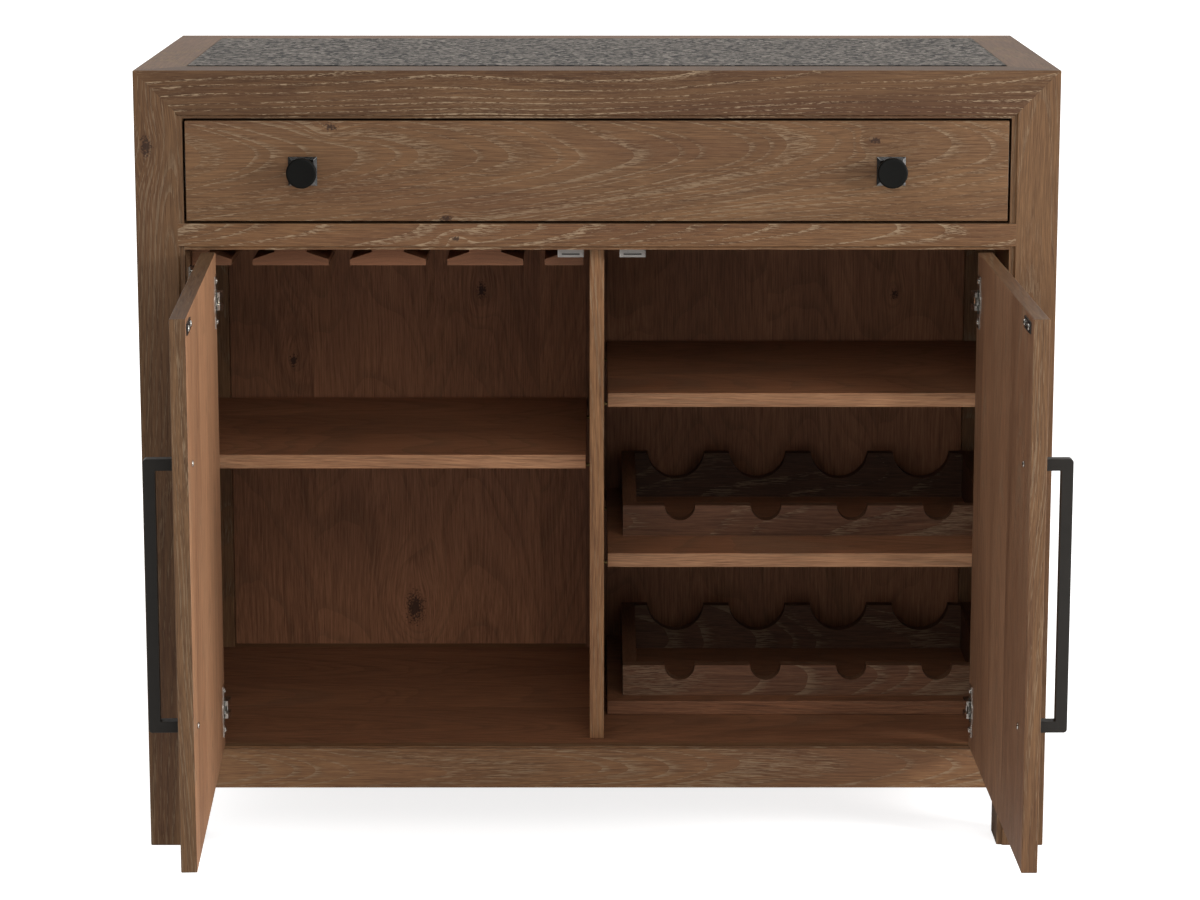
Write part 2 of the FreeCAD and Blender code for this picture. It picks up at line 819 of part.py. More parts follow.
# Glass rack: sloping-shouldered rails hung from the ceiling, with a half rail at each end.
def stem_rail(name, left, right, slopes):
    """One rail between two edges. slopes names the edges that have a shoulder: left, right or both."""
    bottom = "ceiling - stem_rail_height"
    lip = f"{bottom} + stem_edge"
    shoulder = f"{lip} + stem_shoulder_rise"
    outline = [(left, bottom)]
    if "left" in slopes:
        neck = f"{left} + stem_shoulder_run"
        outline += [(left, lip), (neck, shoulder), (neck, "ceiling")]
    else:
        outline.append((left, "ceiling"))
    if "right" in slopes:
        neck = f"{right} - stem_shoulder_run"
        outline += [(neck, "ceiling"), (neck, shoulder), (right, lip)]
    else:
        outline.append((right, "ceiling"))
    outline.append((right, bottom))
    return prism(name, "XZ", outline, "front + stem_setback", "rear_post_front - stem_back_gap")


first_edge = "-(half_divider + stem_end_gap)"
full_edge = f"{first_edge} - stem_half_width - stem_slot"
last_edge = f"{full_edge} - stem_pitch * {STEM_RAILS}"
full_rails = [
    stem_rail(f"stemware_rail_{number}", f"{full_edge} - stem_pitch * {number} - stem_rail_width",
              f"{full_edge} - stem_pitch * {number}", ("left", "right"))
    for number in range(STEM_RAILS)
]
end_rails = [
    stem_rail("stemware_divider_end", f"{first_edge} - stem_half_width", first_edge, ("left",)),
    stem_rail("stemware_side_end", f"{last_edge} - stem_half_width", last_edge, ("right",)),
]
keep(group("stemware_rails", full_rails + end_rails))

# Catches screwed up under the ceiling board, each with a slot for its roller.
CATCHES = {"left": "left_catch", "right": "right_catch"}
catches = []
for side, across in CATCHES.items():
    middle = sided(side, across)
    case = box(f"{side}_catch_case", around(middle, "catch_width"),
               ("catch_front", "catch_front + catch_length"), ("ceiling - catch_height", "ceiling"))
    slot = box(f"{side}_catch_slot", around(middle, "catch_slot_width"),
               ("catch_front", "catch_front + catch_slot_depth"),
               ("ceiling - catch_height + catch_slot_rise",
                "ceiling - catch_height + catch_slot_rise + catch_slot_height"))
    catches.append(cut(f"{side}_catch", case, [slot]))
keep(group("door_catches", catches))

# Drawer slides: an outer channel on a runner board, a middle one, and an inner one on the drawer.
slide_low, slide_high = around("drawer_middle", "slide_height")


def channel(name, side, web, lip, height):
    """A channel from its web to its lips, both given as distances from the middle of the case."""
    low, high = around("drawer_middle", height)
    wall = f"({web[0]}) {web[1]} slide_wall"
    outline = [
        (sided(side, web[0]), low),
        (sided(side, lip), low),
        (sided(side, lip), f"{low} + slide_wall"),
        (sided(side, wall), f"{low} + slide_wall"),
        (sided(side, wall), f"{high} - slide_wall"),
        (sided(side, lip), f"{high} - slide_wall"),
        (sided(side, lip), high),
        (sided(side, web[0]), high),
    ]
    return prism(name, "XZ", outline, "slide_front", "slide_back")


nesting = "2 * (slide_wall + slide_gap)"
CHANNELS = {
    "slide_outer": (("half_opening", "-"), "half_opening - channel_reach", "slide_height"),
    "slide_middle": (("half_opening - middle_offset", "-"),
                     "half_opening - middle_offset - channel_reach + slide_wall",
                     f"slide_height - {nesting}"),
    "slide_inner": (("box_half", "+"), "box_half + channel_reach - middle_offset",
                    f"slide_height - 2 * {nesting}"),
}
for member, (web, lip, height) in CHANNELS.items():
    keep(group(f"{member}_members",
               [channel(f"{side}_{member}", side, web, lip, height) for side in SIDES]))
runners = [
    box(f"{side}_runner_board", side_span(side, "half_opening", "half_opening + board_thickness"),
        ("post_back", "rear_post_front"), around("drawer_middle", "runner_height"))
    for side in SIDES
]
keep(group("runner_boards", runners))

# Drawer: a grooved box behind an eased front.
keep(board("drawer_front", ("-(drawer_half)", "drawer_half"), ("face_front", "face_back"),
           ("drawer_floor + drawer_gap", "frame_bottom - drawer_gap")))
drawer_sides = []
for side in SIDES:
    panel = box(f"drawer_{side}_blank", side_span(side, "box_half - box_side", "box_half"),
                ("face_back", "box_back"), ("box_bottom", "box_top"))
    groove = box(f"drawer_{side}_groove",
                 side_span(side, "box_half - box_side", "box_half - box_side + groove_depth"),
                 ("face_back", "box_back"), ("groove_bottom", "groove_top"))
    drawer_sides.append(cut(f"drawer_{side}_side", panel, [groove]))
keep(group("drawer_sides", drawer_sides))
inside = ("-(box_half - box_side)", "box_half - box_side")
for name, start, groove_start in (
    ("drawer_sub_front", "face_back", "face_back + box_side - groove_depth"),
    ("drawer_back", "box_back - box_side", "box_back - box_side"),
):
    panel = box(f"{name}_blank", inside, (start, f"{start} + box_side"), ("box_bottom", "box_top"))
    groove = box(f"{name}_groove", inside, (groove_start, f"{groove_start} + groove_depth"),
                 ("groove_bottom", "groove_top"))
    keep(cut(name, panel, [groove]))
keep(box("drawer_bottom",
         ("-(box_half - box_side + groove_depth)", "box_half - box_side + groove_depth"),
         ("face_back + box_side - groove_depth", "box_back - box_side + groove_depth"),
         ("groove_bottom", "groove_top")))

# Knobs: a turned disc on a neck, over a square plate with bevelled edges.
knobs, knob_plates = [], []
plate_thickness = "(plate_base + plate_bevel_height)"
for side in SIDES:
    across = sided(side, "knob_spacing / 2")
    base_plate = box(f"{side}_knob_plate_base", around(across, "plate_side"),
                     ("face_front - plate_base", "face_front"), around("drawer_middle", "plate_side"))
    bevel = doc.addObject("Part::Wedge", f"{side}_knob_plate_bevel")
    for axis, middle in (("X", across), ("Z", "drawer_middle")):
        bevel.setExpression(f"{axis}min", bound(f"{middle} - plate_side / 2 + plate_bevel"))
        bevel.setExpression(f"{axis}max", bound(f"{middle} + plate_side / 2 - plate_bevel"))
        bevel.setExpression(f"{axis}2min", bound(f"{middle} - plate_side / 2"))
        bevel.setExpression(f"{axis}2max", bound(f"{middle} + plate_side / 2"))
    bevel.setExpression("Ymin", bound(f"face_front - {plate_thickness}"))
    bevel.setExpression("Ymax", bound("face_front - plate_base"))
    knob_plates.append(fused(f"{side}_knob_plate", [base_plate, bevel]))

    knob = doc.addObject("PartDesign::Body", f"{side}_knob")
    profile = sketch_on(knob, "YZ", "profile")
    for axis, place in zip("xyz", (f"face_front - {plate_thickness}", "drawer_middle", across)):
        profile.setExpression(f"AttachmentOffset.Base.{axis}", bound(place))
    reach = f"(knob_projection - {plate_thickness})"
    draw_polygon(profile, [
        ("0", "0"),
        ("0", "knob_foot / 2"),
        ("-knob_flare", "knob_neck / 2"),
        (f"-({reach} - knob_disc)", "knob_neck / 2"),
        (f"-({reach} - knob_disc)", "knob_diameter / 2"),
        (f"-{reach}", "knob_diameter / 2"),
        (f"-{reach}", "0"),
    ])
    turn = knob.newObject("PartDesign::Revolution", f"{side}_knob_turned")
    turn.Profile = profile
    turn.ReferenceAxis = (profile, ["H_Axis"])
    rim = value("knob_diameter / 2")
    ease(knob, lambda edge: edge.Curve.TypeId == "Part::GeomCircle" and math.isclose(edge.Curve.Radius, rim),
         "knob_round")
    knobs.append(knob)
keep(group("drawer_knobs", knobs))
keep(group("knob_backplates", knob_plates))


# Doors. Every piece of a door is drawn in the shut pose and then swung about the hinge axis.
# The link of a hinge turns half as far as its door.
OPEN_TURNS = {"left": "-left_open_angle", "right": "right_open_angle"}
LINK_SHARE = 0.5


def swung(side, piece, share=1):
    """Turn a piece of a door about the hinge axis by its share of the open angle."""
    axis = f"vector({sided(side, 'axis_across')}; axis_along; 0)"
    turn = f"rotation(vector(0; 0; 1); {OPEN_TURNS[side]} * {share})"
    piece.setExpression("Placement", bound(f"placement(vector(0; 0; 0); {turn}; {axis})"))
    keep(piece)


def door_screw(name, across, height, seat, length):
    head = rod(f"{name}_head", "Y", (across, seat, height), "screw_head_height", "screw_head / 2")
    shank = rod(f"{name}_shank", "Y", (across, f"{seat} - ({length})", height), length, "screw_shank / 2")
    return fused(name, [head, shank])


def hung_door(side):
    cup_across = sided(side, "cup_across")
    pull_across = sided(side, "pull_across")
    catch_across = sided(side, CATCHES[side])
    pull_screw_length = "board_thickness + screw_in_pull"
    blind = "screw_length"
    # every screw: its name, where it stands, what its head seats on, its length
    fasteners = [
        (f"pull_{way}", pull_across, f"pull_middle {sign} pull_leg", "face_back", pull_screw_length)
        for way, sign in (("low", "-"), ("high", "+"))
    ]
    fasteners += [
        (f"strike_{way}", f"{catch_across} {sign} strike_screw_spacing / 2", "strike_middle",
         "strike_back", blind)
        for way, sign in (("left", "-"), ("right", "+"))
    ]
    fasteners += [
        (f"{hinge}_{way}", cup_across, f"{hinge} {sign} flange_screw_spacing / 2", "flange_back", blind)
        for hinge in HINGES
        for way, sign in (("low", "-"), ("high", "+"))
    ]

    def screw_holes(piece, wanted=""):
        return [
            rod(f"{side}_{piece}_{name}_hole", "Y", (across, f"{seat} - ({length})", height), length,
                "screw_shank / 2 + screw_fit")
            for name, across, height, seat, length in fasteners if name.startswith(wanted)
        ]

    blank = board(f"{side}_door_blank", side_span(side, "door_gap", "door_edge"),
                  ("face_front", "face_back"), ("door_bottom", "door_top"))
    cup_bores = [
        rod(f"{side}_{hinge}_bore", "Y", (cup_across, "face_back - cup_depth - cup_fit", hinge),
            "cup_depth + cup_fit", "cup_diameter / 2 + cup_fit")
        for hinge in HINGES
    ]
    swung(side, cut(f"{side}_door_panel", blank, screw_holes("door") + cup_bores))

    low, high = around("pull_middle", "pull_length")
    bar_x = around(pull_across, "pull_bar")
    pull = prism(f"{side}_pull_bar", "YZ", [
        ("face_front", low),
        ("pull_front", low),
        ("pull_front", high),
        ("face_front", high),
        ("face_front", f"{high} - pull_bar"),
        ("pull_front + pull_bar", f"{high} - pull_bar"),
        ("pull_front + pull_bar", f"{low} + pull_bar"),
        ("face_front", f"{low} + pull_bar"),
    ], *bar_x)
    bar_back = value("pull_front + pull_bar - pull_round")
    ease(pull, lambda edge: runs_along(edge, "x") and edge.BoundBox.YMax < bar_back, "pull_corner")
    ease(pull, lambda edge: not runs_along(edge, "x") and edge.BoundBox.YMax < bar_back, "pull_round")
    swung(side, cut(f"{side}_door_pull", pull, screw_holes("pull_tapping", "pull")))

    strike = box(f"{side}_strike_blank", around(catch_across, "strike_length"), ("face_back", "strike_back"),
                 around("strike_middle", "strike_height"))
    swung(side, cut(f"{side}_strike_plate", strike, screw_holes("strike_plate", "strike")))

    cups, links = [], []
    for hinge in HINGES:
        label = f"{side}_{hinge}"
        wing = box(f"{label}_wing", around(cup_across, "flange_width"), ("face_back", "flange_back"),
                   around(hinge, "flange_height"))
        rim = rod(f"{label}_rim", "Y", (cup_across, "face_back", hinge), "flange_thickness",
                  "cup_diameter / 2 + flange_rim")
        cup = rod(f"{label}_cup", "Y", (cup_across, "face_back - cup_depth", hinge),
                  "cup_depth", "cup_diameter / 2")
        hollow = rod(f"{label}_hollow", "Y", (cup_across, "face_back - cup_depth + cup_wall", hinge),
                     "cup_depth - cup_wall + flange_thickness", "cup_diameter / 2 - cup_wall")
        shell = cut(f"{label}_shell", fused(f"{label}_stamping", [wing, rim, cup]),
                    [hollow] + screw_holes(f"{hinge}_flange", hinge))
        ears_block = box(f"{label}_ears_block", past_axis(side, "ear_inset", "ear_reach"),
                         ("face_back", "axis_along + tongue_outer"), around(hinge, "ear_height"))
        ears_disc = shared(f"{label}_ears_disc", ears_block,
                           about_axis(f"{label}_ears_outer", side, hinge, "tongue_outer", "ear_height * 2"))
        link_path = about_axis(f"{label}_link_path", side, hinge, "tongue_inner",
                               "link_height + 2 * hinge_run")
        tongue_path = box(f"{label}_tongue_path", past_axis(side, "ear_inset", "ear_reach"),
                          ("face_back", "axis_along + tongue_outer"),
                          around(hinge, "tongue_height + 2 * hinge_run"))
        ears = cut(f"{label}_ears", ears_disc, [fused(f"{label}_paths", [link_path, tongue_path])])
        cups.append(fused(f"{label}_cup_assembly", [shell, ears]))
        link_block = box(f"{label}_link_block", past_axis(side, "link_inset", "link_reach"),
                         ("cup_floor + link_floor_gap", "axis_along + tongue_inner"),
                         around(hinge, "link_height"))
        links.append(ring_piece(f"{label}_link", side, hinge, link_block, "link_inner", "link_outer"))
    swung(side, group(f"{side}_hinge_cups", cups))
    swung(side, group(f"{side}_hinge_links", links), LINK_SHARE)

    swung(side, group(f"{side}_door_screws", [
        door_screw(f"{side}_{name}_screw", across, height, seat, length)
        for name, across, height, seat, length in fasteners
    ]))


for side in SIDES:
    hung_door(side)

doc.recompute()
faults = [item.Name for item in doc.Objects if "Invalid" in item.State or "Error" in item.State]
faults += [part.Name for part in parts if part.Shape.isNull() or not part.Shape.isValid()]
if faults:
    raise RuntimeError(f"failed: {faults}")
os.makedirs("parts", exist_ok=True)
for part in parts:
    part.Shape.exportStep(f"parts/{part.Label}.step")
print(len(parts), "sub-parts")
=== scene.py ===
import math
import random

import bmesh
import bpy
from mathutils import Matrix, Vector
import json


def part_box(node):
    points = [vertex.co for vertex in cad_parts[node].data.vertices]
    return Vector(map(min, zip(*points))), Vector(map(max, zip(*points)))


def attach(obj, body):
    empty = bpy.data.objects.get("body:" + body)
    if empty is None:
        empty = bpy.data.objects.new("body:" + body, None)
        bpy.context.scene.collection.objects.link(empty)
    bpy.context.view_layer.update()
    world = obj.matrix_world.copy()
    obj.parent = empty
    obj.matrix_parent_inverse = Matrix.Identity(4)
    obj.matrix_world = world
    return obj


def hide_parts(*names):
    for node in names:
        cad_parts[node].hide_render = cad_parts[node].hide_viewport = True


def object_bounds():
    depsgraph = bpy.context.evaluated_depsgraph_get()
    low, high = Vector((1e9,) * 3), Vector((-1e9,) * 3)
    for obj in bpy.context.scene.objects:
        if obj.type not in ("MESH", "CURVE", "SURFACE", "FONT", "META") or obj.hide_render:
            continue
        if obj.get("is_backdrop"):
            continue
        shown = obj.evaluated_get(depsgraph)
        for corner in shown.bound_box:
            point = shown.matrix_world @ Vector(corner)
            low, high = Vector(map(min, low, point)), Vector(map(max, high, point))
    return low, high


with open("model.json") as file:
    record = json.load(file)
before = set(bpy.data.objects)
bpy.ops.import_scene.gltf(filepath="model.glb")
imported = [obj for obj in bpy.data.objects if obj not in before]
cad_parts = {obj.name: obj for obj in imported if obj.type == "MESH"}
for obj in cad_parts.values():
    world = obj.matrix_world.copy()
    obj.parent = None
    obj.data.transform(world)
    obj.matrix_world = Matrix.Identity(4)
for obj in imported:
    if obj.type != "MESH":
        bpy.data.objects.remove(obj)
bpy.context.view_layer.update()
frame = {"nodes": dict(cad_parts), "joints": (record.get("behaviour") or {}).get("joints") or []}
scene = bpy.context.scene
scene.view_settings.view_transform = "Standard"

# Camera, about four metres in front of the case and a little above its top, looking slightly down
# through a long lens. A small shift keeps the posts as upright as the other views allow.
CAMERA_PLACE = (-0.0031, -4.129, 1.353)
CAMERA_TILT = math.radians(10.41)
CAMERA_LENS = 102.8
CAMERA_SHIFT = (0.0047, -0.06)

camera = bpy.data.objects.new("camera", bpy.data.cameras.new("camera"))
scene.collection.objects.link(camera)
camera.location = CAMERA_PLACE
camera.rotation_euler = (math.radians(90) - CAMERA_TILT, 0, 0)
camera.data.lens = CAMERA_LENS
camera.data.shift_x, camera.data.shift_y = CAMERA_SHIFT
camera.data.clip_end = 100
scene.camera = camera


# Studio: a soft lamp far round on the right, weaker ones on the right, above and in front, and light
# from all round that is stronger from the left. Shiny pieces mirror a room that is white behind and
# on the right and dim in front. The camera sees white all round, with the shadow on the floor.
LAMP_AIM = (0, 0, 0.5)
LAMPS = {
    "side_lamp": ((3.6, -1.7, 1.35), 1.1, 104),
    "right_lamp": ((1.6, -3.6, 2.2), 1.5, 15),
    "high_lamp": ((0.2, -3.4, 2.7), 1.5, 18),
    "front_lamp": ((0, -4.5, 0.9), 2.0, 8),
}
ROOM_LEVEL, ROOM_LEFT = 0.62, 1.5
ROOM_FRONT, ROOM_SIDE = 0.06, 0.7
ROOM_DIM, ROOM_WHITE = -0.6, 0.1
FLOOR_SIZE = 30
FLOOR_COLOUR = (0.8, 0.8, 0.8, 1)
FLOOR_FRONT = (0.08, 0.08, 0.08, 1)
FLOOR_NEAR, FLOOR_FAR = -1.0, -3.0
FLOOR_LIFT = 0.8


def put(tree, kind, feeds=None, **settings):
    """Add a node, with its options, and feed its inputs with values or other nodes' outputs."""
    node = tree.nodes.new(kind)
    for name, setting in settings.items():
        setattr(node, name, setting)
    for key, feed in (feeds or {}).items():
        if isinstance(feed, bpy.types.NodeSocket):
            tree.links.new(feed, node.inputs[key])
        else:
            node.inputs[key].default_value = feed
    return node


def calc(tree, operation, *terms, clamp=False):
    """The result of one sum."""
    feeds = dict(enumerate(terms))
    return put(tree, "ShaderNodeMath", feeds, operation=operation, use_clamp=clamp).outputs[0]


def coordinates(tree, kind):
    """One of the surface's own coordinates, such as Object or Normal."""
    return put(tree, "ShaderNodeTexCoord").outputs[kind]


def split(tree, vector):
    """The three parts of a vector."""
    return put(tree, "ShaderNodeSeparateXYZ", {0: vector}).outputs


for name, (place, size, power) in LAMPS.items():
    light = bpy.data.lights.new(name, "AREA")
    light.shape = "DISK"
    light.size = size
    light.energy = power
    holder = bpy.data.objects.new(name, light)
    scene.collection.objects.link(holder)
    holder.location = place
    holder.rotation_euler = (Vector(LAMP_AIM) - Vector(place)).to_track_quat("-Z", "Y").to_euler()

world = bpy.data.worlds.new("studio")
scene.world = world
world.use_nodes = True
tree = world.node_tree
tree.nodes.clear()
path = put(tree, "ShaderNodeLightPath").outputs
mirrored = calc(tree, "ADD", path["Is Glossy Ray"], path["Is Transmission Ray"], clamp=True)
ways = split(tree, coordinates(tree, "Generated"))
way = calc(tree, "MULTIPLY_ADD", ways[0], ROOM_SIDE, ways[1])
walls = put(tree, "ShaderNodeMapRange", {
    "Value": way, "From Min": ROOM_DIM, "From Max": ROOM_WHITE, "To Min": ROOM_FRONT})
lighting = put(tree, "ShaderNodeMapRange", {
    "Value": ways[0], "From Min": 0.0, "From Max": -1.0, "To Min": ROOM_LEVEL, "To Max": ROOM_LEFT})
level = put(tree, "ShaderNodeMix", {0: mirrored, 2: lighting.outputs[0], 3: walls.outputs[0]}).outputs[0]
level = put(tree, "ShaderNodeMix", {0: path["Is Camera Ray"], 2: level, 3: 1.0}).outputs[0]
backdrop = put(tree, "ShaderNodeBackground", {"Color": (1, 1, 1, 1), "Strength": level})
put(tree, "ShaderNodeOutputWorld", {"Surface": backdrop.outputs[0]})


def new_material(name):
    material = bpy.data.materials.new(name)
    material.use_nodes = True
    material.node_tree.nodes.clear()
    return material, material.node_tree


shape = bmesh.new()
bmesh.ops.create_grid(shape, x_segments=1, y_segments=1, size=FLOOR_SIZE / 2)
floor_mesh = bpy.data.meshes.new("floor")
shape.to_mesh(floor_mesh)
shape.free()
floor = bpy.data.objects.new("floor", floor_mesh)
scene.collection.objects.link(floor)
material, tree = new_material("pale_floor")
path = put(tree, "ShaderNodeLightPath").outputs
lift = calc(tree, "MULTIPLY", path["Is Camera Ray"], FLOOR_LIFT)
glow = put(tree, "ShaderNodeEmission", {"Color": (1, 1, 1, 1), "Strength": lift})
spread = split(tree, coordinates(tree, "Object"))
way = calc(tree, "MULTIPLY_ADD", spread[0], ROOM_SIDE, spread[1])
front = put(tree, "ShaderNodeMapRange", {"Value": way, "From Min": FLOOR_NEAR, "From Max": FLOOR_FAR})
dim = calc(tree, "MULTIPLY", front.outputs[0], path["Is Glossy Ray"])
shade = put(tree, "ShaderNodeMix", {0: dim, 6: FLOOR_COLOUR, 7: FLOOR_FRONT}, data_type="RGBA")
matt = put(tree, "ShaderNodeBsdfDiffuse", {"Color": shade.outputs[2]})
floor_look = put(tree, "ShaderNodeAddShader", {0: glow.outputs[0], 1: matt.outputs[0]})
put(tree, "ShaderNodeOutputMaterial", {"Surface": floor_look.outputs[0]})
floor_mesh.materials.append(material)
floor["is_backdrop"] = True


# Case: square posts and mitred rails of brushed oak, stained mid brown, with pale wax in the pores.
# The wood is a solid pattern, so that the grain runs through each board and round its edges.
OAK_PALE, OAK_DEEP = (0.234, 0.121, 0.053, 1), (0.093, 0.041, 0.0165, 1)
# The second pair is the same oak made redder for inside faces: painted red of light bounced inside.
BOUNCE_LIGHT_PALE, BOUNCE_LIGHT_DEEP = (0.262, 0.113, 0.054, 1), (0.098, 0.039, 0.0175, 1)
OAK_RED = (0.125, 0.050, 0.024, 1)
OAK_WAX = (0.310, 0.220, 0.136, 1)
OAK_KNOT = (0.028, 0.012, 0.007, 1)
RING_SPACING, RING_UNEVEN = 0.005, 4.0
EARLY_FROM, EARLY_FULL = 0.50, 0.05

# Cells of each pattern in a metre, across and along the grain.
SWAY_CELLS = 9.0, 2.1
PORE_CELLS = 1250, 42
FIBRE_CELLS = 560, 15
FINE_CELLS = 1400, 60
PATCH_CELLS = 9, 3.5
BAND_CELLS = 60, 1.3
RED_CELLS = 16, 1.7
UNEVEN_CELLS = 90

# How far the pores open, in early and late wood, and how far each pattern shifts the tone.
PORE_LEVEL, PORE_PATCHES, PORE_EARLY, PORE_EDGE = 0.79, -0.40, -0.11, 0.07
PORES_LATE, PORES_ON_ENDS = 0.20, 0.20
BAND_TONE, STAVE_TONE, MIDDLE_TONE, FIBRE_TONE = 0.85, 0.30, 0.35, 2.2
RED_FROM, RED_FULL = 0.45, 0.75


def mix(tree, factor, first, second, how="MIX"):
    feeds = {0: factor, 6: first, 7: second}
    return put(tree, "ShaderNodeMix", feeds, data_type="RGBA", blend_type=how).outputs[2]


def ramp(tree, value, low, high, to_low=0.0, to_high=1.0):
    """A smooth step from one level to another."""
    feeds = {"Value": value, "From Min": low, "From Max": high, "To Min": to_low, "To Max": to_high}
    return put(tree, "ShaderNodeMapRange", feeds, interpolation_type="SMOOTHSTEP").outputs[0]


def noise(tree, vector, scale=1.0, detail=2.0, roughness=0.5):
    feeds = {"Vector": vector, "Scale": scale, "Detail": detail, "Roughness": roughness}
    return put(tree, "ShaderNodeTexNoise", feeds).outputs


def point(tree, x, y, z):
    return put(tree, "ShaderNodeCombineXYZ", {0: x, 1: y, 2: z}).outputs[0]


def new_group(name, inputs, outputs):
    """A shader node group with named sockets: its tree, its inputs and its output node."""
    group = bpy.data.node_groups.new(name, "ShaderNodeTree")
    for label, kind in inputs.items():
        group.interface.new_socket(name=label, in_out="INPUT", socket_type=f"NodeSocket{kind}")
    for label, kind in outputs.items():
        group.interface.new_socket(name=label, in_out="OUTPUT", socket_type=f"NodeSocket{kind}")
    return group, group.nodes.new("NodeGroupInput").outputs, group.nodes.new("NodeGroupOutput")


# In the group, X runs across the board, Y through it and Z along the grain.
grain_group, given, result = new_group(
    "oak_grain",
    {"Vector": "Vector", "Seed": "Float", "Middle": "Float", "Stave": "Float", "Pith Depth": "Float",
     "Pith Across": "Float", "Pith Drift": "Float", "Rise": "Float", "Waver": "Float", "Bulge": "Float",
     "Shift": "Float", "End": "Float", "Short": "Float"},
    {"Tone": "Float", "Early": "Float", "Pores": "Float", "Fine": "Float", "Red": "Float"})


def sum_of(first, second):
    return calc(grain_group, "ADD", first, second)


def less(first, second):
    return calc(grain_group, "SUBTRACT", first, second)


def times(first, second):
    return calc(grain_group, "MULTIPLY", first, second)


def times_plus(value, factor, start):
    return calc(grain_group, "MULTIPLY_ADD", value, factor, start)


# Each stave is another board of the same log, with a tone and a place of its own.
place = split(grain_group, given["Vector"])
from_middle = less(place[0], given["Middle"])
stave_place = sum_of(calc(grain_group, "DIVIDE", from_middle, given["Stave"]), 0.5)
stave = calc(grain_group, "FLOOR", stave_place)
stave_seed = sum_of(stave, times(given["Seed"], 7.31))
chance = put(grain_group, "ShaderNodeTexWhiteNoise", {"W": stave_seed}, noise_dimensions="1D")
chances = put(grain_group, "ShaderNodeSeparateColor", {0: chance.outputs["Color"]}).outputs
across = times(less(less(stave_place, stave), 0.5), given["Stave"])
along = sum_of(place[2], times(chances[0], 9.0))

# The log bends, so its rings sway from side to side along the board.
broad = point(grain_group, times(across, SWAY_CELLS[0]), times(place[1], SWAY_CELLS[0]),
              times(along, SWAY_CELLS[1]))
sway = {0: noise(grain_group, broad, detail=1.5)["Color"], 1: (0.5, 0.5, 0.5)}
sway = {0: put(grain_group, "ShaderNodeVectorMath", sway, operation="SUBTRACT").outputs[0],
        "Scale": given["Waver"]}
sways = split(grain_group, put(grain_group, "ShaderNodeVectorMath", sway, operation="SCALE").outputs[0])

# The rings lie round the pith, wide or narrow by year, each with early wood on its inner side.
pith_side = times_plus(less(chances[1], 0.5), given["Pith Drift"], given["Pith Across"])
from_side = sum_of(less(across, pith_side), sways[0])
from_face = sum_of(sum_of(place[1], given["Pith Depth"]), sways[1])
ring_radius = sum_of(times(from_side, from_side), times(from_face, from_face))
ring_radius = sum_of(calc(grain_group, "SQRT", ring_radius), times(along, given["Rise"]))
ring_radius = sum_of(ring_radius, given["Bulge"])
uneven = noise(grain_group, point(grain_group, times(ring_radius, UNEVEN_CELLS), stave_seed, 0.0))[0]
ring = sum_of(calc(grain_group, "DIVIDE", ring_radius, RING_SPACING), times(uneven, RING_UNEVEN))
early = ramp(grain_group, calc(grain_group, "FRACT", ring), EARLY_FROM, EARLY_FULL)
fibre_side = sum_of(place[0], sum_of(sways[0], given["Shift"]))
fibre_face = sum_of(place[1], sways[1])


def stretched(cells, detail, roughness=0.5, short=1.0):
    """Noise drawn out along the grain."""
    space = point(grain_group, times(fibre_side, cells[0]), times(fibre_face, cells[0]),
                  times(along, times(short, cells[1])))
    return noise(grain_group, space, detail=detail, roughness=roughness)[0]


# Pores open most in the early wood and in patches. On the ends of a board they close to points.
fibre = stretched(FIBRE_CELLS, 3.0, 0.75)
fine = stretched(FINE_CELLS, 1.0)
pore_noise = stretched(PORE_CELLS, 2.0, 0.55, given["Short"])
patch = stretched(PATCH_CELLS, 2.0)
in_early = times_plus(early, 1 - PORES_LATE, PORES_LATE)
opening = times_plus(early, PORE_EARLY, times_plus(patch, PORE_PATCHES, PORE_LEVEL))
pores = times(ramp(grain_group, less(pore_noise, opening), 0.0, PORE_EDGE), in_early)
side_on = times_plus(given["End"], PORES_ON_ENDS - 1, 1.0)
pores = times(pores, side_on)

# The tone changes from ring to ring, from stave to stave and with the fibres.
band_space = point(grain_group, times(ring_radius, BAND_CELLS[0]), stave_seed,
                   times(along, BAND_CELLS[1]))
band = noise(grain_group, band_space, detail=2.0)[0]
tone = times_plus(less(band, 0.5), BAND_TONE, times_plus(chances[2], STAVE_TONE, MIDDLE_TONE))
tone = times_plus(times(less(fibre, 0.5), side_on), FIBRE_TONE, tone)
red_space = point(grain_group, times(place[0], RED_CELLS[0]), times(place[1], RED_CELLS[0]),
                  times(along, RED_CELLS[1]))
red = ramp(grain_group, noise(grain_group, red_space, detail=2.0)[0], RED_FROM, RED_FULL)
for label, feed in (("Tone", tone), ("Early", early), ("Pores", pores), ("Fine", fine), ("Red", red)):
    grain_group.links.new(feed, result.inputs[label])

# A knot turns the rings round itself and is dark and crumbled in the middle.
KNOT_CRUMBS, KNOT_RAGGED = 420.0, 2.6
KNOT_LONG, KNOT_REACH = 0.55, 3.0
KNOT_BULGE, KNOT_SHIFT = 1.6, -0.75
knot_group, given, result = new_group(
    "oak_knot", {"Vector": "Vector", "Place": "Vector", "Size": "Float"},
    {"Bulge": "Float", "Shift": "Float", "Dark": "Float"})
offset = {0: given["Vector"], 1: given["Place"]}
offset = put(knot_group, "ShaderNodeVectorMath", offset, operation="SUBTRACT").outputs[0]
parts = split(knot_group, offset)
crumbs = noise(knot_group, given["Vector"], scale=KNOT_CRUMBS, detail=3.0)[0]
flat = point(knot_group, parts[0], 0.0, calc(knot_group, "MULTIPLY", parts[2], KNOT_LONG))
reach = put(knot_group, "ShaderNodeVectorMath", {0: flat}, operation="LENGTH").outputs["Value"]
reach = calc(knot_group, "DIVIDE", reach, given["Size"])
spread = calc(knot_group, "DIVIDE", reach, KNOT_REACH)
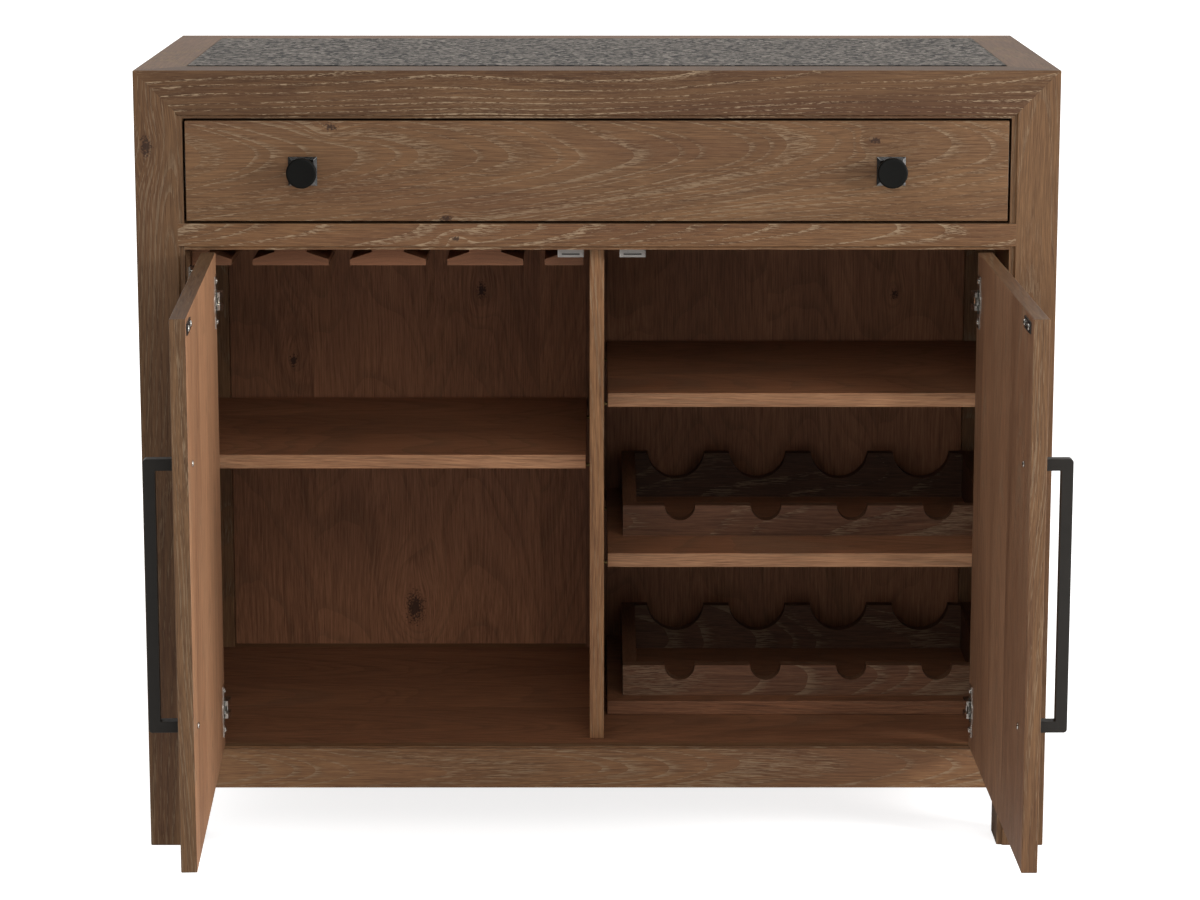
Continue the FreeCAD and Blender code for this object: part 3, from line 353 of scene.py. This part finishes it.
fading = calc(knot_group, "MULTIPLY", calc(knot_group, "MULTIPLY", spread, spread), -1.0)
fall = calc(knot_group, "POWER", 2.718, fading)
bulge = calc(knot_group, "MULTIPLY", fall, calc(knot_group, "MULTIPLY", given["Size"], KNOT_BULGE))
shift = calc(knot_group, "MULTIPLY", fall, calc(knot_group, "MULTIPLY", parts[0], KNOT_SHIFT))
crumbling = calc(knot_group, "MULTIPLY", calc(knot_group, "SUBTRACT", crumbs, 0.5), KNOT_RAGGED)
dark = ramp(knot_group, calc(knot_group, "ADD", reach, crumbling), 1.0, 0.35)
knot_group.links.new(bulge, result.inputs["Bulge"])
knot_group.links.new(shift, result.inputs["Shift"])
knot_group.links.new(dark, result.inputs["Dark"])

AXES = {"X": 0, "Y": 1, "Z": 2}
END_SLANT, LIT_SLANT = 0.8, 0.7
RED_SHARE, KNOT_SHARE = 0.35, 0.85
EARLY_SHADE, FINE_SHADE = (-0.16, 1.06), (0.40, 0.80)
FINE_RELIEF, PORE_DEPTH = 0.35, 0.0006
OAK_ROUGHNESS = 0.15, 0.56


def dress(piece, material):
    """Give a piece one material."""
    if not piece.material_slots:
        piece.data.materials.append(material)
    for slot in piece.material_slots:
        slot.material = material


def oak(names, seed, along, across, through, middle=None, stave=0.4, pith=0.045, heart=0.0, drift=0.03,
        rise=0.06, waver=0.030, short=1.0, tone=1.0, wax=0.55, inner=False, lit_face=None, painted_light_gain=1.0,
        painted_light_blue=1.0, lipped=False, knots=(), turn=0.0, centre=(0, 0, 0)):
    """Oak for some boards, whose grain runs along one axis. They are cut pith deep under the heart of
    the log, which lies at heart from their middle, and short makes their pores shorter. turn swings
    the pattern with an open door. inner boards take a redder copy of the oak, painted for light
    bounced round inside. The face that looks along lit_face is outer oak with painted light on it,
    brightened by painted_light_gain and bluer where rose is over 1, such as a shelf's front. A lipped
    board has a strip glued over its ends, whose grain runs across."""
    material, tree = new_material(f"oak_{names[0]}")
    spot = coordinates(tree, "Object")
    if turn:
        spot = put(tree, "ShaderNodeVectorMath", {0: spot, 1: centre}, operation="SUBTRACT").outputs[0]
        spot = put(tree, "ShaderNodeMapping", {"Vector": spot, "Rotation": (0, 0, turn)}).outputs[0]
    ways = split(tree, spot)
    normal = coordinates(tree, "Normal")
    slants = split(tree, normal)
    end = calc(tree, "GREATER_THAN", calc(tree, "ABSOLUTE", slants[AXES[along]]), END_SLANT)
    spot = point(tree, ways[AXES[across]], ways[AXES[through]], ways[AXES[along]])
    if lipped:
        strip = point(tree, ways[AXES[along]], ways[AXES[through]], ways[AXES[across]])
        spot = put(tree, "ShaderNodeMix", {0: end, 4: spot, 5: strip}, data_type="VECTOR").outputs[1]
    bulge, shift, dark = 0.0, 0.0, 0.0
    for knot_across, knot_along, size in knots:
        knot = put(tree, "ShaderNodeGroup", node_tree=knot_group)
        tree.links.new(spot, knot.inputs["Vector"])
        knot.inputs["Place"].default_value = (knot_across, 0, knot_along)
        knot.inputs["Size"].default_value = size
        bulge = calc(tree, "ADD", bulge, knot.outputs["Bulge"])
        shift = calc(tree, "ADD", shift, knot.outputs["Shift"])
        dark = calc(tree, "MAXIMUM", dark, knot.outputs["Dark"])
    grain = put(tree, "ShaderNodeGroup", node_tree=grain_group)
    tree.links.new(spot, grain.inputs["Vector"])
    if middle is None:
        middle = sum(corner[AXES[across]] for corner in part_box(names[0])) / 2
    for label, amount in (("Seed", seed), ("Middle", middle), ("Stave", stave), ("Pith Depth", pith),
                          ("Pith Across", heart), ("Pith Drift", drift), ("Rise", rise),
                          ("Waver", waver), ("Short", short)):
        grain.inputs[label].default_value = amount
    if not lipped:
        tree.links.new(end, grain.inputs["End"])
    if knots:
        tree.links.new(bulge, grain.inputs["Bulge"])
        tree.links.new(shift, grain.inputs["Shift"])
    seen = grain.outputs
    # Inner boards take the redder copy, painted for light bounced round inside the case.
    deep, pale = (BOUNCE_LIGHT_DEEP, BOUNCE_LIGHT_PALE) if inner else (OAK_DEEP, OAK_PALE)
    brown = mix(tree, calc(tree, "ADD", seen["Tone"], 0.0, clamp=True), deep, pale)
    brown = mix(tree, calc(tree, "MULTIPLY", seen["Red"], RED_SHARE), brown, OAK_RED)
    shade = calc(tree, "MULTIPLY_ADD", seen["Early"], *EARLY_SHADE)
    shade = calc(tree, "MULTIPLY", shade, calc(tree, "MULTIPLY_ADD", seen["Fine"], *FINE_SHADE))
    shade = calc(tree, "MULTIPLY", shade, tone)
    blueness = 1.0
    # Painted light: the face along lit_face takes outer oak, brightened by painted_light_gain and bluer
    # by rose.
    if lit_face:
        facing = put(tree, "ShaderNodeVectorMath", {0: normal, 1: lit_face}, operation="DOT_PRODUCT")
        lit = calc(tree, "GREATER_THAN", facing.outputs["Value"], LIT_SLANT)
        outer = mix(tree, calc(tree, "ADD", seen["Tone"], 0.0, clamp=True), OAK_DEEP, OAK_PALE)
        brown = mix(tree, lit, brown, outer)
        shade = calc(tree, "MULTIPLY", shade, calc(tree, "MULTIPLY_ADD", lit, painted_light_gain - 1, 1.0))
        blueness = calc(tree, "MULTIPLY_ADD", lit, painted_light_blue - 1, 1.0)
    blue = calc(tree, "MULTIPLY", shade, blueness)
    shade = put(tree, "ShaderNodeCombineColor", {0: shade, 1: shade, 2: blue}).outputs[0]
    brown = mix(tree, 1.0, brown, shade, "MULTIPLY")
    brown = mix(tree, calc(tree, "MULTIPLY", seen["Pores"], wax), brown, OAK_WAX)
    if knots:
        brown = mix(tree, calc(tree, "MULTIPLY", dark, KNOT_SHARE), brown, OAK_KNOT)
    height = calc(tree, "SUBTRACT", calc(tree, "MULTIPLY", seen["Fine"], FINE_RELIEF), seen["Pores"])
    bump = put(tree, "ShaderNodeBump", {"Height": height, "Strength": 0.35, "Distance": PORE_DEPTH})
    roughness = calc(tree, "MULTIPLY_ADD", seen["Pores"], *OAK_ROUGHNESS)
    wood = put(tree, "ShaderNodeBsdfPrincipled", {
        "Base Color": brown, "Roughness": roughness, "Specular IOR Level": 0.25,
        "Normal": bump.outputs[0]})
    put(tree, "ShaderNodeOutputMaterial", {"Surface": wood.outputs[0]})
    for name in names:
        dress(frame["nodes"][name], material)


UPRIGHT = ("Z", "X", "Y")
LEVEL = ("X", "Z", "Y")
oak(["left_front_post"], 1.0, *UPRIGHT, pith=0.030, knots=[(-0.545, 0.88, 0.008)], tone=0.63, wax=0.3)
oak(["right_front_post"], 2.3, *UPRIGHT, pith=0.060, rise=0.02, tone=0.70, wax=0.3)
oak(["left_rear_post"], 3.1, *UPRIGHT)
oak(["right_rear_post"], 4.2, *UPRIGHT)
oak(["top_front_rail"], 8.6, *LEVEL, pith=0.080, heart=0.05, drift=0, rise=0.02, tone=0.63,
    wax=0.85, short=3.2)
oak(["top_rear_rail"], 6.6, *LEVEL)
oak(["top_left_rail"], 7.5, "Y", "X", "Z", tone=0.88)
oak(["top_right_rail"], 8.7, "Y", "X", "Z", pith=0.03, rise=0.03, tone=0.84)
oak(["drawer_divider_rail"], 9.1, *LEVEL, pith=0.05, rise=0.08, tone=0.90, wax=0.8, short=2.2,
    knots=[(0.768, -0.172, 0.0035)])
oak(["apron"], 10.2, *LEVEL, pith=0.06, tone=1.04, wax=0.55)
oak(["side_bottom_rails"], 11.3, "Y", "Z", "X", pith=0.60, rise=0.02)
oak(["rear_bottom_rail"], 12.5, *LEVEL)
# Their inside faces take the redder copy painted for bounced light, their outside faces plain oak.
oak(["left_side_panel"], 13.2, "Z", "Y", "X", inner=True, stave=0.115, pith=0.60, drift=0.08,
    lit_face=(-1, 0, 0))
oak(["right_side_panel"], 14.9, "Z", "Y", "X", inner=True, stave=0.115, pith=-0.50, drift=0.08,
    lit_face=(1, 0, 0))


# Stone top: a slab of dark grey granite with a leathered face and dark polished sides, set in the oak
# frame on its board and standing a millimetre proud. Its edges are just broken.
STONE_GREY = (0.150, 0.131, 0.114, 1)
STONE_BLACK = (0.035, 0.032, 0.029, 1)
STONE_PALE = (0.300, 0.265, 0.230, 1)
STONE_SIDE = (0.004, 0.004, 0.004, 1)
CRYSTAL_CELLS, CLOUD_CELLS, PIT_CELLS = 190.0, 45.0, 260.0
GREY_FROM, GREY_FULL = 0.35, 0.60
PALE_FROM, PALE_FULL = 0.72, 0.95
FACE_SLANT, SIDE_SLANT = 0.9, 0.6
STONE_RELIEF = 0.0012
STONE_EDGE, EDGE_ANGLE = 0.0003, math.radians(25)

material, tree = new_material("granite")
spot = coordinates(tree, "Object")
crystals = put(tree, "ShaderNodeTexVoronoi", {"Vector": spot, "Scale": CRYSTAL_CELLS}).outputs["Color"]
crystal = put(tree, "ShaderNodeSeparateColor", {0: crystals}).outputs
clouds = noise(tree, spot, scale=CLOUD_CELLS, detail=3.0)[0]
pits = noise(tree, spot, scale=PIT_CELLS, detail=4.0, roughness=0.65)[0]
grey = calc(tree, "ADD", crystal[0], calc(tree, "SUBTRACT", clouds, 0.5))
grey = mix(tree, ramp(tree, grey, GREY_FROM, GREY_FULL), STONE_BLACK, STONE_GREY)
pale = calc(tree, "ADD", crystal[1], calc(tree, "SUBTRACT", pits, 0.5))
grey = mix(tree, ramp(tree, pale, PALE_FROM, PALE_FULL), grey, STONE_PALE)
upward = split(tree, coordinates(tree, "Normal"))[2]
grey = mix(tree, ramp(tree, upward, FACE_SLANT, SIDE_SLANT), grey, STONE_SIDE)
relief = calc(tree, "ADD", pits, clouds)
bump = put(tree, "ShaderNodeBump", {"Height": relief, "Strength": 0.5, "Distance": STONE_RELIEF})
slab = put(tree, "ShaderNodeBsdfPrincipled", {
    "Base Color": grey, "Roughness": ramp(tree, pits, 0.2, 0.8, 0.6, 0.8), "Specular IOR Level": 0.12,
    "Normal": bump.outputs[0]})
put(tree, "ShaderNodeOutputMaterial", {"Surface": slab.outputs[0]})
dress(frame["nodes"]["stone_top"], material)


def broken_edges(node, width):
    """Take the sharpness off the edges of a CAD piece."""
    piece = frame["nodes"][node]
    weld = piece.modifiers.new("weld", "WELD")
    weld.merge_threshold = 1e-6
    bevel = piece.modifiers.new("bevel", "BEVEL")
    bevel.width = width
    bevel.segments = 2
    bevel.limit_method = "ANGLE"
    bevel.angle_limit = EDGE_ANGLE


broken_edges("stone_top", STONE_EDGE)


# Inside: veneered boards of the same oak for the back, floor, ceiling and shelves, and solid oak for
# the divider, the racks and the rails that glasses hang from.
# Most take the redder copy of the oak, painted for light bounced round inside the case.
oak(["back_panel"], 20.4, "Z", "X", "Y", inner=True, stave=0.155, drift=0.10, tone=1.35, wax=0.10,
    knots=[(-0.252, 0.180, 0.014), (-0.415, 0.528, 0.006), (-0.157, 0.626, 0.007),
           (0.407, 0.620, 0.005)])
oak(["back_mullion"], 21.1, *UPRIGHT, inner=True, tone=0.98, wax=0.12)
oak(["centre_divider"], 22.8, "Z", "Y", "X", stave=0.13, tone=1.39, wax=0.45)
oak(["dust_panel"], 23.5, "X", "Y", "Z", inner=True, stave=0.14, tone=0.85, wax=0.1)
oak(["floor_panel"], 24.6, "X", "Y", "Z", inner=True, stave=0.14, tone=1.16, wax=0.12)
# Their fronts take the outer oak, painted brighter and bluer as painted light falling on them.
oak(["left_shelf"], 25.4, "X", "Y", "Z", inner=True, painted_light_blue=1.16, stave=0.13, tone=1.42, wax=0.2,
    lit_face=(0, -1, 0), painted_light_gain=1.30, lipped=True)
oak(["right_shelf"], 26.9, "X", "Y", "Z", inner=True, painted_light_blue=1.16, stave=0.13, tone=1.47, wax=0.2,
    lit_face=(0, -1, 0), painted_light_gain=1.28, lipped=True)
oak(["wine_shelf"], 27.2, "X", "Y", "Z", inner=True, painted_light_blue=1.16, stave=0.13, tone=1.23, wax=0.2,
    lit_face=(0, -1, 0), painted_light_gain=1.38, lipped=True)
oak(["rack_base_board"], 28.3, "X", "Y", "Z", inner=True, stave=0.13, tone=1.04, wax=0.12)
oak(["upper_rack_front_rail"], 29.5, *LEVEL, inner=True, tone=0.54, wax=0.4)
oak(["upper_rack_rear_rail"], 30.7, *LEVEL, inner=True, tone=0.36, wax=0.4)
oak(["upper_rack_sides"], 31.8, "Y", "Z", "X", inner=True, tone=0.51, wax=0.3)
oak(["lower_rack_front_rail"], 32.1, *LEVEL, inner=True, tone=0.63, wax=0.4)
oak(["lower_rack_rear_rail"], 33.4, *LEVEL, inner=True, tone=0.38, wax=0.4)
oak(["lower_rack_sides"], 34.6, "Y", "Z", "X", inner=True, tone=0.52, wax=0.3)
oak(["stemware_rails"], 35.7, "Y", "X", "Z", inner=True, stave=0.12, tone=1.03, wax=0.3)
oak(["top_substrate", "runner_boards"], 36.2, "X", "Y", "Z", stave=0.14, tone=1.1, wax=0.1)


# Drawer: one wide oak front with a few knots, on a box of plain paler boards. The bottom of the box
# sits in a groove, and ball slides carry its sides.
oak(["drawer_front"], 40.5, *LEVEL, pith=0.060, heart=0.024, drift=0, rise=0.11, tone=0.72,
    wax=0.48, short=1.7,
    knots=[(0.904, -0.321, 0.0052), (0.887, 0.337, 0.0045), (0.792, -0.184, 0.0045)])
oak(["drawer_sub_front", "drawer_back"], 41.2, *LEVEL, tone=1.2, wax=0.1)
oak(["drawer_sides"], 42.3, "Y", "Z", "X", tone=1.2, wax=0.1)
oak(["drawer_bottom"], 43.9, "X", "Y", "Z", stave=0.14, tone=1.2, wax=0.1)


# Doors: flat oak doors, glued up from upright staves and lipped at both ends, which hang open at rest.
# The grain is laid out on the shut door and swings with it.
LEFT_SWING, RIGHT_SWING = math.radians(87.5), math.radians(-90.6)


def hinge_place(name):
    joint = next(joint for joint in frame["joints"] if joint["name"] == name)
    return tuple(joint["pos_m"])


left_inside = Matrix.Rotation(-LEFT_SWING, 3, "Z") @ Vector((0, 1, 0))
right_inside = Matrix.Rotation(-RIGHT_SWING, 3, "Z") @ Vector((0, 1, 0))
# Each door's inside face is painted brighter and bluer, the left one most, as painted light from the
# right.
oak(["left_door_panel"], 50.3, *UPRIGHT, middle=0.245, stave=0.125, drift=0.07, tone=0.60, wax=0.35,
    painted_light_blue=1.2, lit_face=left_inside, painted_light_gain=3.20, lipped=True, turn=LEFT_SWING,
    centre=hinge_place("left_door_hinge"))
oak(["right_door_panel"], 51.6, *UPRIGHT, middle=-0.245, stave=0.125, drift=0.07, tone=0.76, wax=0.35,
    painted_light_blue=1.22, lit_face=right_inside, painted_light_gain=1.52, lipped=True, turn=RIGHT_SWING,
    centre=hinge_place("right_door_hinge"))


# Screws: nickelled pan heads with a cross recess, one for each screw of the solids, which hold the
# hinges, the strike plates and the pulls. One head is cut and then set on every seat.
HEAD_RADIUS, HEAD_HEIGHT = 0.0038, 0.0016
RECESS_LENGTH, RECESS_WIDTH, RECESS_DEPTH = 0.0044, 0.0009, 0.0010
LATHE_STEPS = 48


def mesh_of(shape, name):
    """Write a bmesh to a mesh, facing outwards and smooth between its sharp edges."""
    bmesh.ops.remove_doubles(shape, verts=shape.verts, dist=1e-6)
    bmesh.ops.recalc_face_normals(shape, faces=shape.faces)
    for face in shape.faces:
        face.smooth = True
    for edge in shape.edges:
        edge.smooth = edge.calc_face_angle(0) < EDGE_ANGLE
    mesh = bpy.data.meshes.new(name)
    shape.to_mesh(mesh)
    shape.free()
    return mesh


def place_piece(name, mesh, materials, body, replaced):
    """Stand a finished mesh in the scene as one piece of a body, in the place of some nodes."""
    piece = bpy.data.objects.new(name, mesh)
    scene.collection.objects.link(piece)
    for material in materials:
        mesh.materials.append(material)
    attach(piece, body)
    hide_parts(*replaced)
    return piece


def turned(profile):
    """A solid turned about Z from a profile of radius and height, from the foot to the top."""
    shape = bmesh.new()
    points = [shape.verts.new((radius, 0, height)) for radius, height in profile]
    line = [shape.edges.new(pair) for pair in zip(points, points[1:])]
    bmesh.ops.spin(shape, geom=points + line, axis=(0, 0, 1), cent=(0, 0, 0), angle=2 * math.pi,
                   steps=LATHE_STEPS, use_merge=True, use_duplicate=False)
    bmesh.ops.remove_doubles(shape, verts=shape.verts, dist=1e-7)
    return shape


def soften(shape, width, segments=3, chosen=lambda edge: True):
    """Round the sharp edges of a shape, or those of them that are chosen."""
    sharp = [edge for edge in shape.edges if edge.calc_face_angle(0) > EDGE_ANGLE and chosen(edge)]
    bmesh.ops.bevel(shape, geom=sharp, offset=width, segments=segments, profile=0.5, material=-1,
                    affect="EDGES")


def add_block(shape, size, centre):
    place = Matrix.Translation(centre) @ Matrix.Diagonal((*size, 1))
    bmesh.ops.create_cube(shape, size=1, matrix=place)


def islands(node):
    """The separate solids of a node in their own order, each as a list of its corners."""
    shape = bmesh.new()
    shape.from_mesh(frame["nodes"][node].data)
    bmesh.ops.remove_doubles(shape, verts=shape.verts, dist=1e-6)
    left = set(shape.verts)
    found = []
    for first in shape.verts:
        if first not in left:
            continue
        left.remove(first)
        reached = [first]
        for corner in reached:
            beside = [edge.other_vert(corner) for edge in corner.link_edges]
            fresh = [other for other in beside if other in left]
            left.difference_update(fresh)
            reached += fresh
        found.append([corner.co.copy() for corner in reached])
    shape.free()
    return found


BLOTCH_CELLS, SPECK_CELLS = 60.0, 900.0
UNEVEN_COLOUR, UNEVEN_ROUGHNESS = 0.3, 0.16
METAL_RELIEF = 0.0002


def metal(name, colour, metallic, roughness, specular=0.5, grit=0.0):
    """A metal finish whose colour and roughness vary a little."""
    material, tree = new_material(name)
    spot = coordinates(tree, "Object")
    blotch = noise(tree, spot, scale=BLOTCH_CELLS, detail=3.0)[0]
    speck = noise(tree, spot, scale=SPECK_CELLS, detail=2.0)[0]
    shade = calc(tree, "MULTIPLY_ADD", blotch, UNEVEN_COLOUR, 1 - UNEVEN_COLOUR / 2)
    shade = put(tree, "ShaderNodeCombineColor", {0: shade, 1: shade, 2: shade}).outputs[0]
    tint = mix(tree, 1.0, (*colour, 1), shade, "MULTIPLY")
    rough = calc(tree, "MULTIPLY_ADD", blotch, UNEVEN_ROUGHNESS, roughness - UNEVEN_ROUGHNESS / 2)
    bump = put(tree, "ShaderNodeBump", {"Height": speck, "Strength": grit, "Distance": METAL_RELIEF})
    surface = put(tree, "ShaderNodeBsdfPrincipled", {
        "Base Color": tint, "Metallic": metallic, "Roughness": rough, "Specular IOR Level": specular,
        "Normal": bump.outputs[0]})
    put(tree, "ShaderNodeOutputMaterial", {"Surface": surface.outputs[0]})
    return material


nickel = metal("nickel", (0.66, 0.63, 0.58), 1.0, 0.24, grit=0.05)

head = turned([(0, 0), (HEAD_RADIUS, 0), (HEAD_RADIUS, HEAD_HEIGHT * 0.35),
               (HEAD_RADIUS * 0.82, HEAD_HEIGHT * 0.8), (HEAD_RADIUS * 0.45, HEAD_HEIGHT),
               (0, HEAD_HEIGHT)])
head = bpy.data.objects.new("screw_head", mesh_of(head, "screw_head"))
cross = bmesh.new()
add_block(cross, (RECESS_LENGTH, RECESS_WIDTH, RECESS_DEPTH * 2), (0, 0, HEAD_HEIGHT))
add_block(cross, (RECESS_WIDTH, RECESS_LENGTH, RECESS_DEPTH * 2), (0, 0, HEAD_HEIGHT))
cutter = bpy.data.objects.new("screw_cross", mesh_of(cross, "screw_cross"))
for helper in (head, cutter):
    scene.collection.objects.link(helper)
slot_cut = head.modifiers.new("cross", "BOOLEAN")
slot_cut.object = cutter
slot_cut.solver = "EXACT"
slot_cut.use_self = True
head_mesh = bpy.data.meshes.new_from_object(head.evaluated_get(bpy.context.evaluated_depsgraph_get()))
for helper in (head, cutter):
    bpy.data.objects.remove(helper)


def screw_heads(node, body, facing):
    """Set a head on the seat of every screw of a node. facing says which way a screw's head looks."""
    dice = random.Random(node)
    shape = bmesh.new()
    for corners in islands(node):
        way = facing(corners)
        top = max(corner.dot(way) for corner in corners)
        face = [corner for corner in corners if top - corner.dot(way) < 1e-5]
        middle = sum(face, Vector()) / len(face)
        turn = Matrix.Rotation(dice.uniform(0, math.pi), 4, "Z")
        lean = way.to_track_quat("Z", "Y").to_matrix().to_4x4()
        copy = head_mesh.copy()
        copy.transform(Matrix.Translation(middle - way * HEAD_HEIGHT) @ lean @ turn)
        shape.from_mesh(copy)
        bpy.data.meshes.remove(copy)
    place_piece(f"{node}_heads", mesh_of(shape, f"{node}_heads"), [nickel], body, [node])


def inward(corners):
    return Vector((1, 0, 0)) if corners[0].x < 0 else Vector((-1, 0, 0))


screw_heads("hinge_plate_screws", "case", inward)
screw_heads("left_door_screws", "left_door", lambda corners: left_inside)
screw_heads("right_door_screws", "right_door", lambda corners: right_inside)


# Hinges and slides: stamped and folded steel, nickelled, or zinc plated on the slides; shelf pins of
# aged brass. Their CAD solids stay, and the hinge plates and arms have their edges broken as a press
# leaves them.
PRESSED_EDGE = 0.0004
aged_brass = metal("aged_brass", (0.16, 0.115, 0.05), 1.0, 0.38, grit=0.05)
zinc = metal("zinc", (0.30, 0.31, 0.32), 1.0, 0.45, grit=0.05)

for node in ("hinge_plates", "hinge_arms", "left_hinge_cups", "right_hinge_cups", "left_hinge_links",
             "right_hinge_links"):
    dress(frame["nodes"][node], nickel)
dress(frame["nodes"]["shelf_pins"], aged_brass)
for node in ("hinge_plates", "hinge_arms"):
    broken_edges(node, PRESSED_EDGE)
for node in ("slide_outer_members", "slide_middle_members", "slide_inner_members"):
    dress(frame["nodes"][node], zinc)


# Knobs and their plates: cast discs on turned necks, blackened, over square plates whose broad
# bevels are rubbed bright. Each is held by a screw from inside the drawer.
KNOB_FOOT, KNOB_NECK, KNOB_FLARE = 0.0095, 0.0065, 0.003
KNOB_RADIUS, KNOB_DISC, KNOB_RIM, KNOB_DISH = 0.0184, 0.008, 0.0022, 0.0004
PLATE_EDGE = 0.0003
dark_bronze = metal("dark_bronze", (0.0040, 0.0040, 0.0032), 0.0, 0.55, specular=0.15, grit=0.25)
polished_bronze = metal("polished_bronze", (0.17, 0.165, 0.16), 1.0, 0.20, grit=0.03)


def off_axis(edge):
    """The distances of an edge's ends from the knob's axis."""
    return [vert.co.xy.length for vert in edge.verts]


shape = bmesh.new()
knob_low, knob_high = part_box("drawer_knobs")
reach = knob_high.y - knob_low.y
for corners in islands("drawer_knobs"):
    knob = turned([(0, 0), (KNOB_FOOT, 0), (KNOB_NECK, KNOB_FLARE), (KNOB_NECK, reach - KNOB_DISC),
                   (KNOB_RADIUS, reach - KNOB_DISC), (KNOB_RADIUS, reach),
                   (KNOB_RADIUS * 0.72, reach - KNOB_DISH), (0, reach - KNOB_DISH)])
    soften(knob, KNOB_RIM, 5, lambda edge: min(off_axis(edge)) > KNOB_RADIUS * 0.99)
    soften(knob, KNOB_RIM / 3, 3, lambda edge: max(off_axis(edge)) < KNOB_RADIUS / 2)
    across = (min(corner.x for corner in corners) + max(corner.x for corner in corners)) / 2
    middle = Vector((across, knob_high.y, (knob_low.z + knob_high.z) / 2))
    knob.transform(Matrix.Translation(middle) @ Matrix.Rotation(math.pi / 2, 4, "X"))
    knob_mesh = bpy.data.meshes.new("knob")
    knob.to_mesh(knob_mesh)
    knob.free()
    shape.from_mesh(knob_mesh)
    bpy.data.meshes.remove(knob_mesh)
place_piece("turned_knobs", mesh_of(shape, "turned_knobs"), [dark_bronze], "drawer",
            ["drawer_knobs"])

dress(frame["nodes"]["knob_backplates"], polished_bronze)
broken_edges("knob_backplates", PLATE_EDGE)


# Pulls: square bars on square legs with eased corners, in blackened bronze that hands have worn a
# little paler. Each is held on the face of its door by two screws from inside.
worn_bronze = metal("worn_bronze", (0.0185, 0.0158, 0.0130), 0.0, 0.5, specular=0.25, grit=0.25)

for node in ("left_door_pull", "right_door_pull"):
    dress(frame["nodes"][node], worn_bronze)


# Catches and strike plates: a magnet between two pole strips in a grey cast housing, fixed under the
# ceiling behind each door, and a dark steel plate on the door that it holds.
HOUSING_WALL, HOUSING_RECESS, HOUSING_EDGE = 0.0018, 0.0008, 0.0004
SLOT_HALF = 0.0009
STRIP_LENGTH, STRIP_DEPTH = 0.0218, 0.006
MAGNET_THICKNESS, POLE_THICKNESS, POLE_RISE = 0.0017, 0.0011, 0.0014
MAGNET_SUNK, POLE_SUNK = HOUSING_RECESS * 0.9, HOUSING_RECESS * 0.4
CATCH_STRIPS = [(0, MAGNET_THICKNESS, MAGNET_SUNK, 1), (POLE_RISE, POLE_THICKNESS, POLE_SUNK, 0),
                (-POLE_RISE, POLE_THICKNESS, POLE_SUNK, 0)]
catch_grey = metal("catch_grey", (0.30, 0.28, 0.26), 0.35, 0.42, grit=0.1)
magnet_black = metal("magnet_black", (0.012, 0.012, 0.012), 0.0, 0.6, specular=0.3)
dark_steel = metal("dark_steel", (0.045, 0.042, 0.040), 0.6, 0.38, grit=0.1)

shape = bmesh.new()
for corners in islands("door_catches"):
    low = Vector([min(corner[axis] for corner in corners) for axis in range(3)])
    high = Vector([max(corner[axis] for corner in corners) for axis in range(3)])
    slot_foot = min(corner.z for corner in corners if corner.z - low.z > 1e-5)
    housing = bmesh.new()
    add_block(housing, high - low, (low + high) / 2)
    face = min(housing.faces, key=lambda face: face.calc_center_median().y)
    bmesh.ops.inset_individual(housing, faces=[face], thickness=HOUSING_WALL)
    bmesh.ops.translate(housing, verts=face.verts, vec=(0, HOUSING_RECESS, 0))
    soften(housing, HOUSING_EDGE, 2)
    housing_mesh = bpy.data.meshes.new("housing")
    housing.to_mesh(housing_mesh)
    housing.free()
    shape.from_mesh(housing_mesh)
    bpy.data.meshes.remove(housing_mesh)
    for rise, thickness, sunk, finish in CATCH_STRIPS:
        before = set(shape.faces)
        add_block(shape, (STRIP_LENGTH, STRIP_DEPTH, thickness),
                  ((low.x + high.x) / 2, low.y + sunk + STRIP_DEPTH / 2, slot_foot + SLOT_HALF + rise))
        for face in set(shape.faces) - before:
            face.material_index = finish
place_piece("catch_housings", mesh_of(shape, "catch_housings"), [catch_grey, magnet_black], "case",
            ["door_catches"])

for node in ("left_strike_plate", "right_strike_plate"):
    dress(frame["nodes"][node], dark_steel)


low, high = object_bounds()
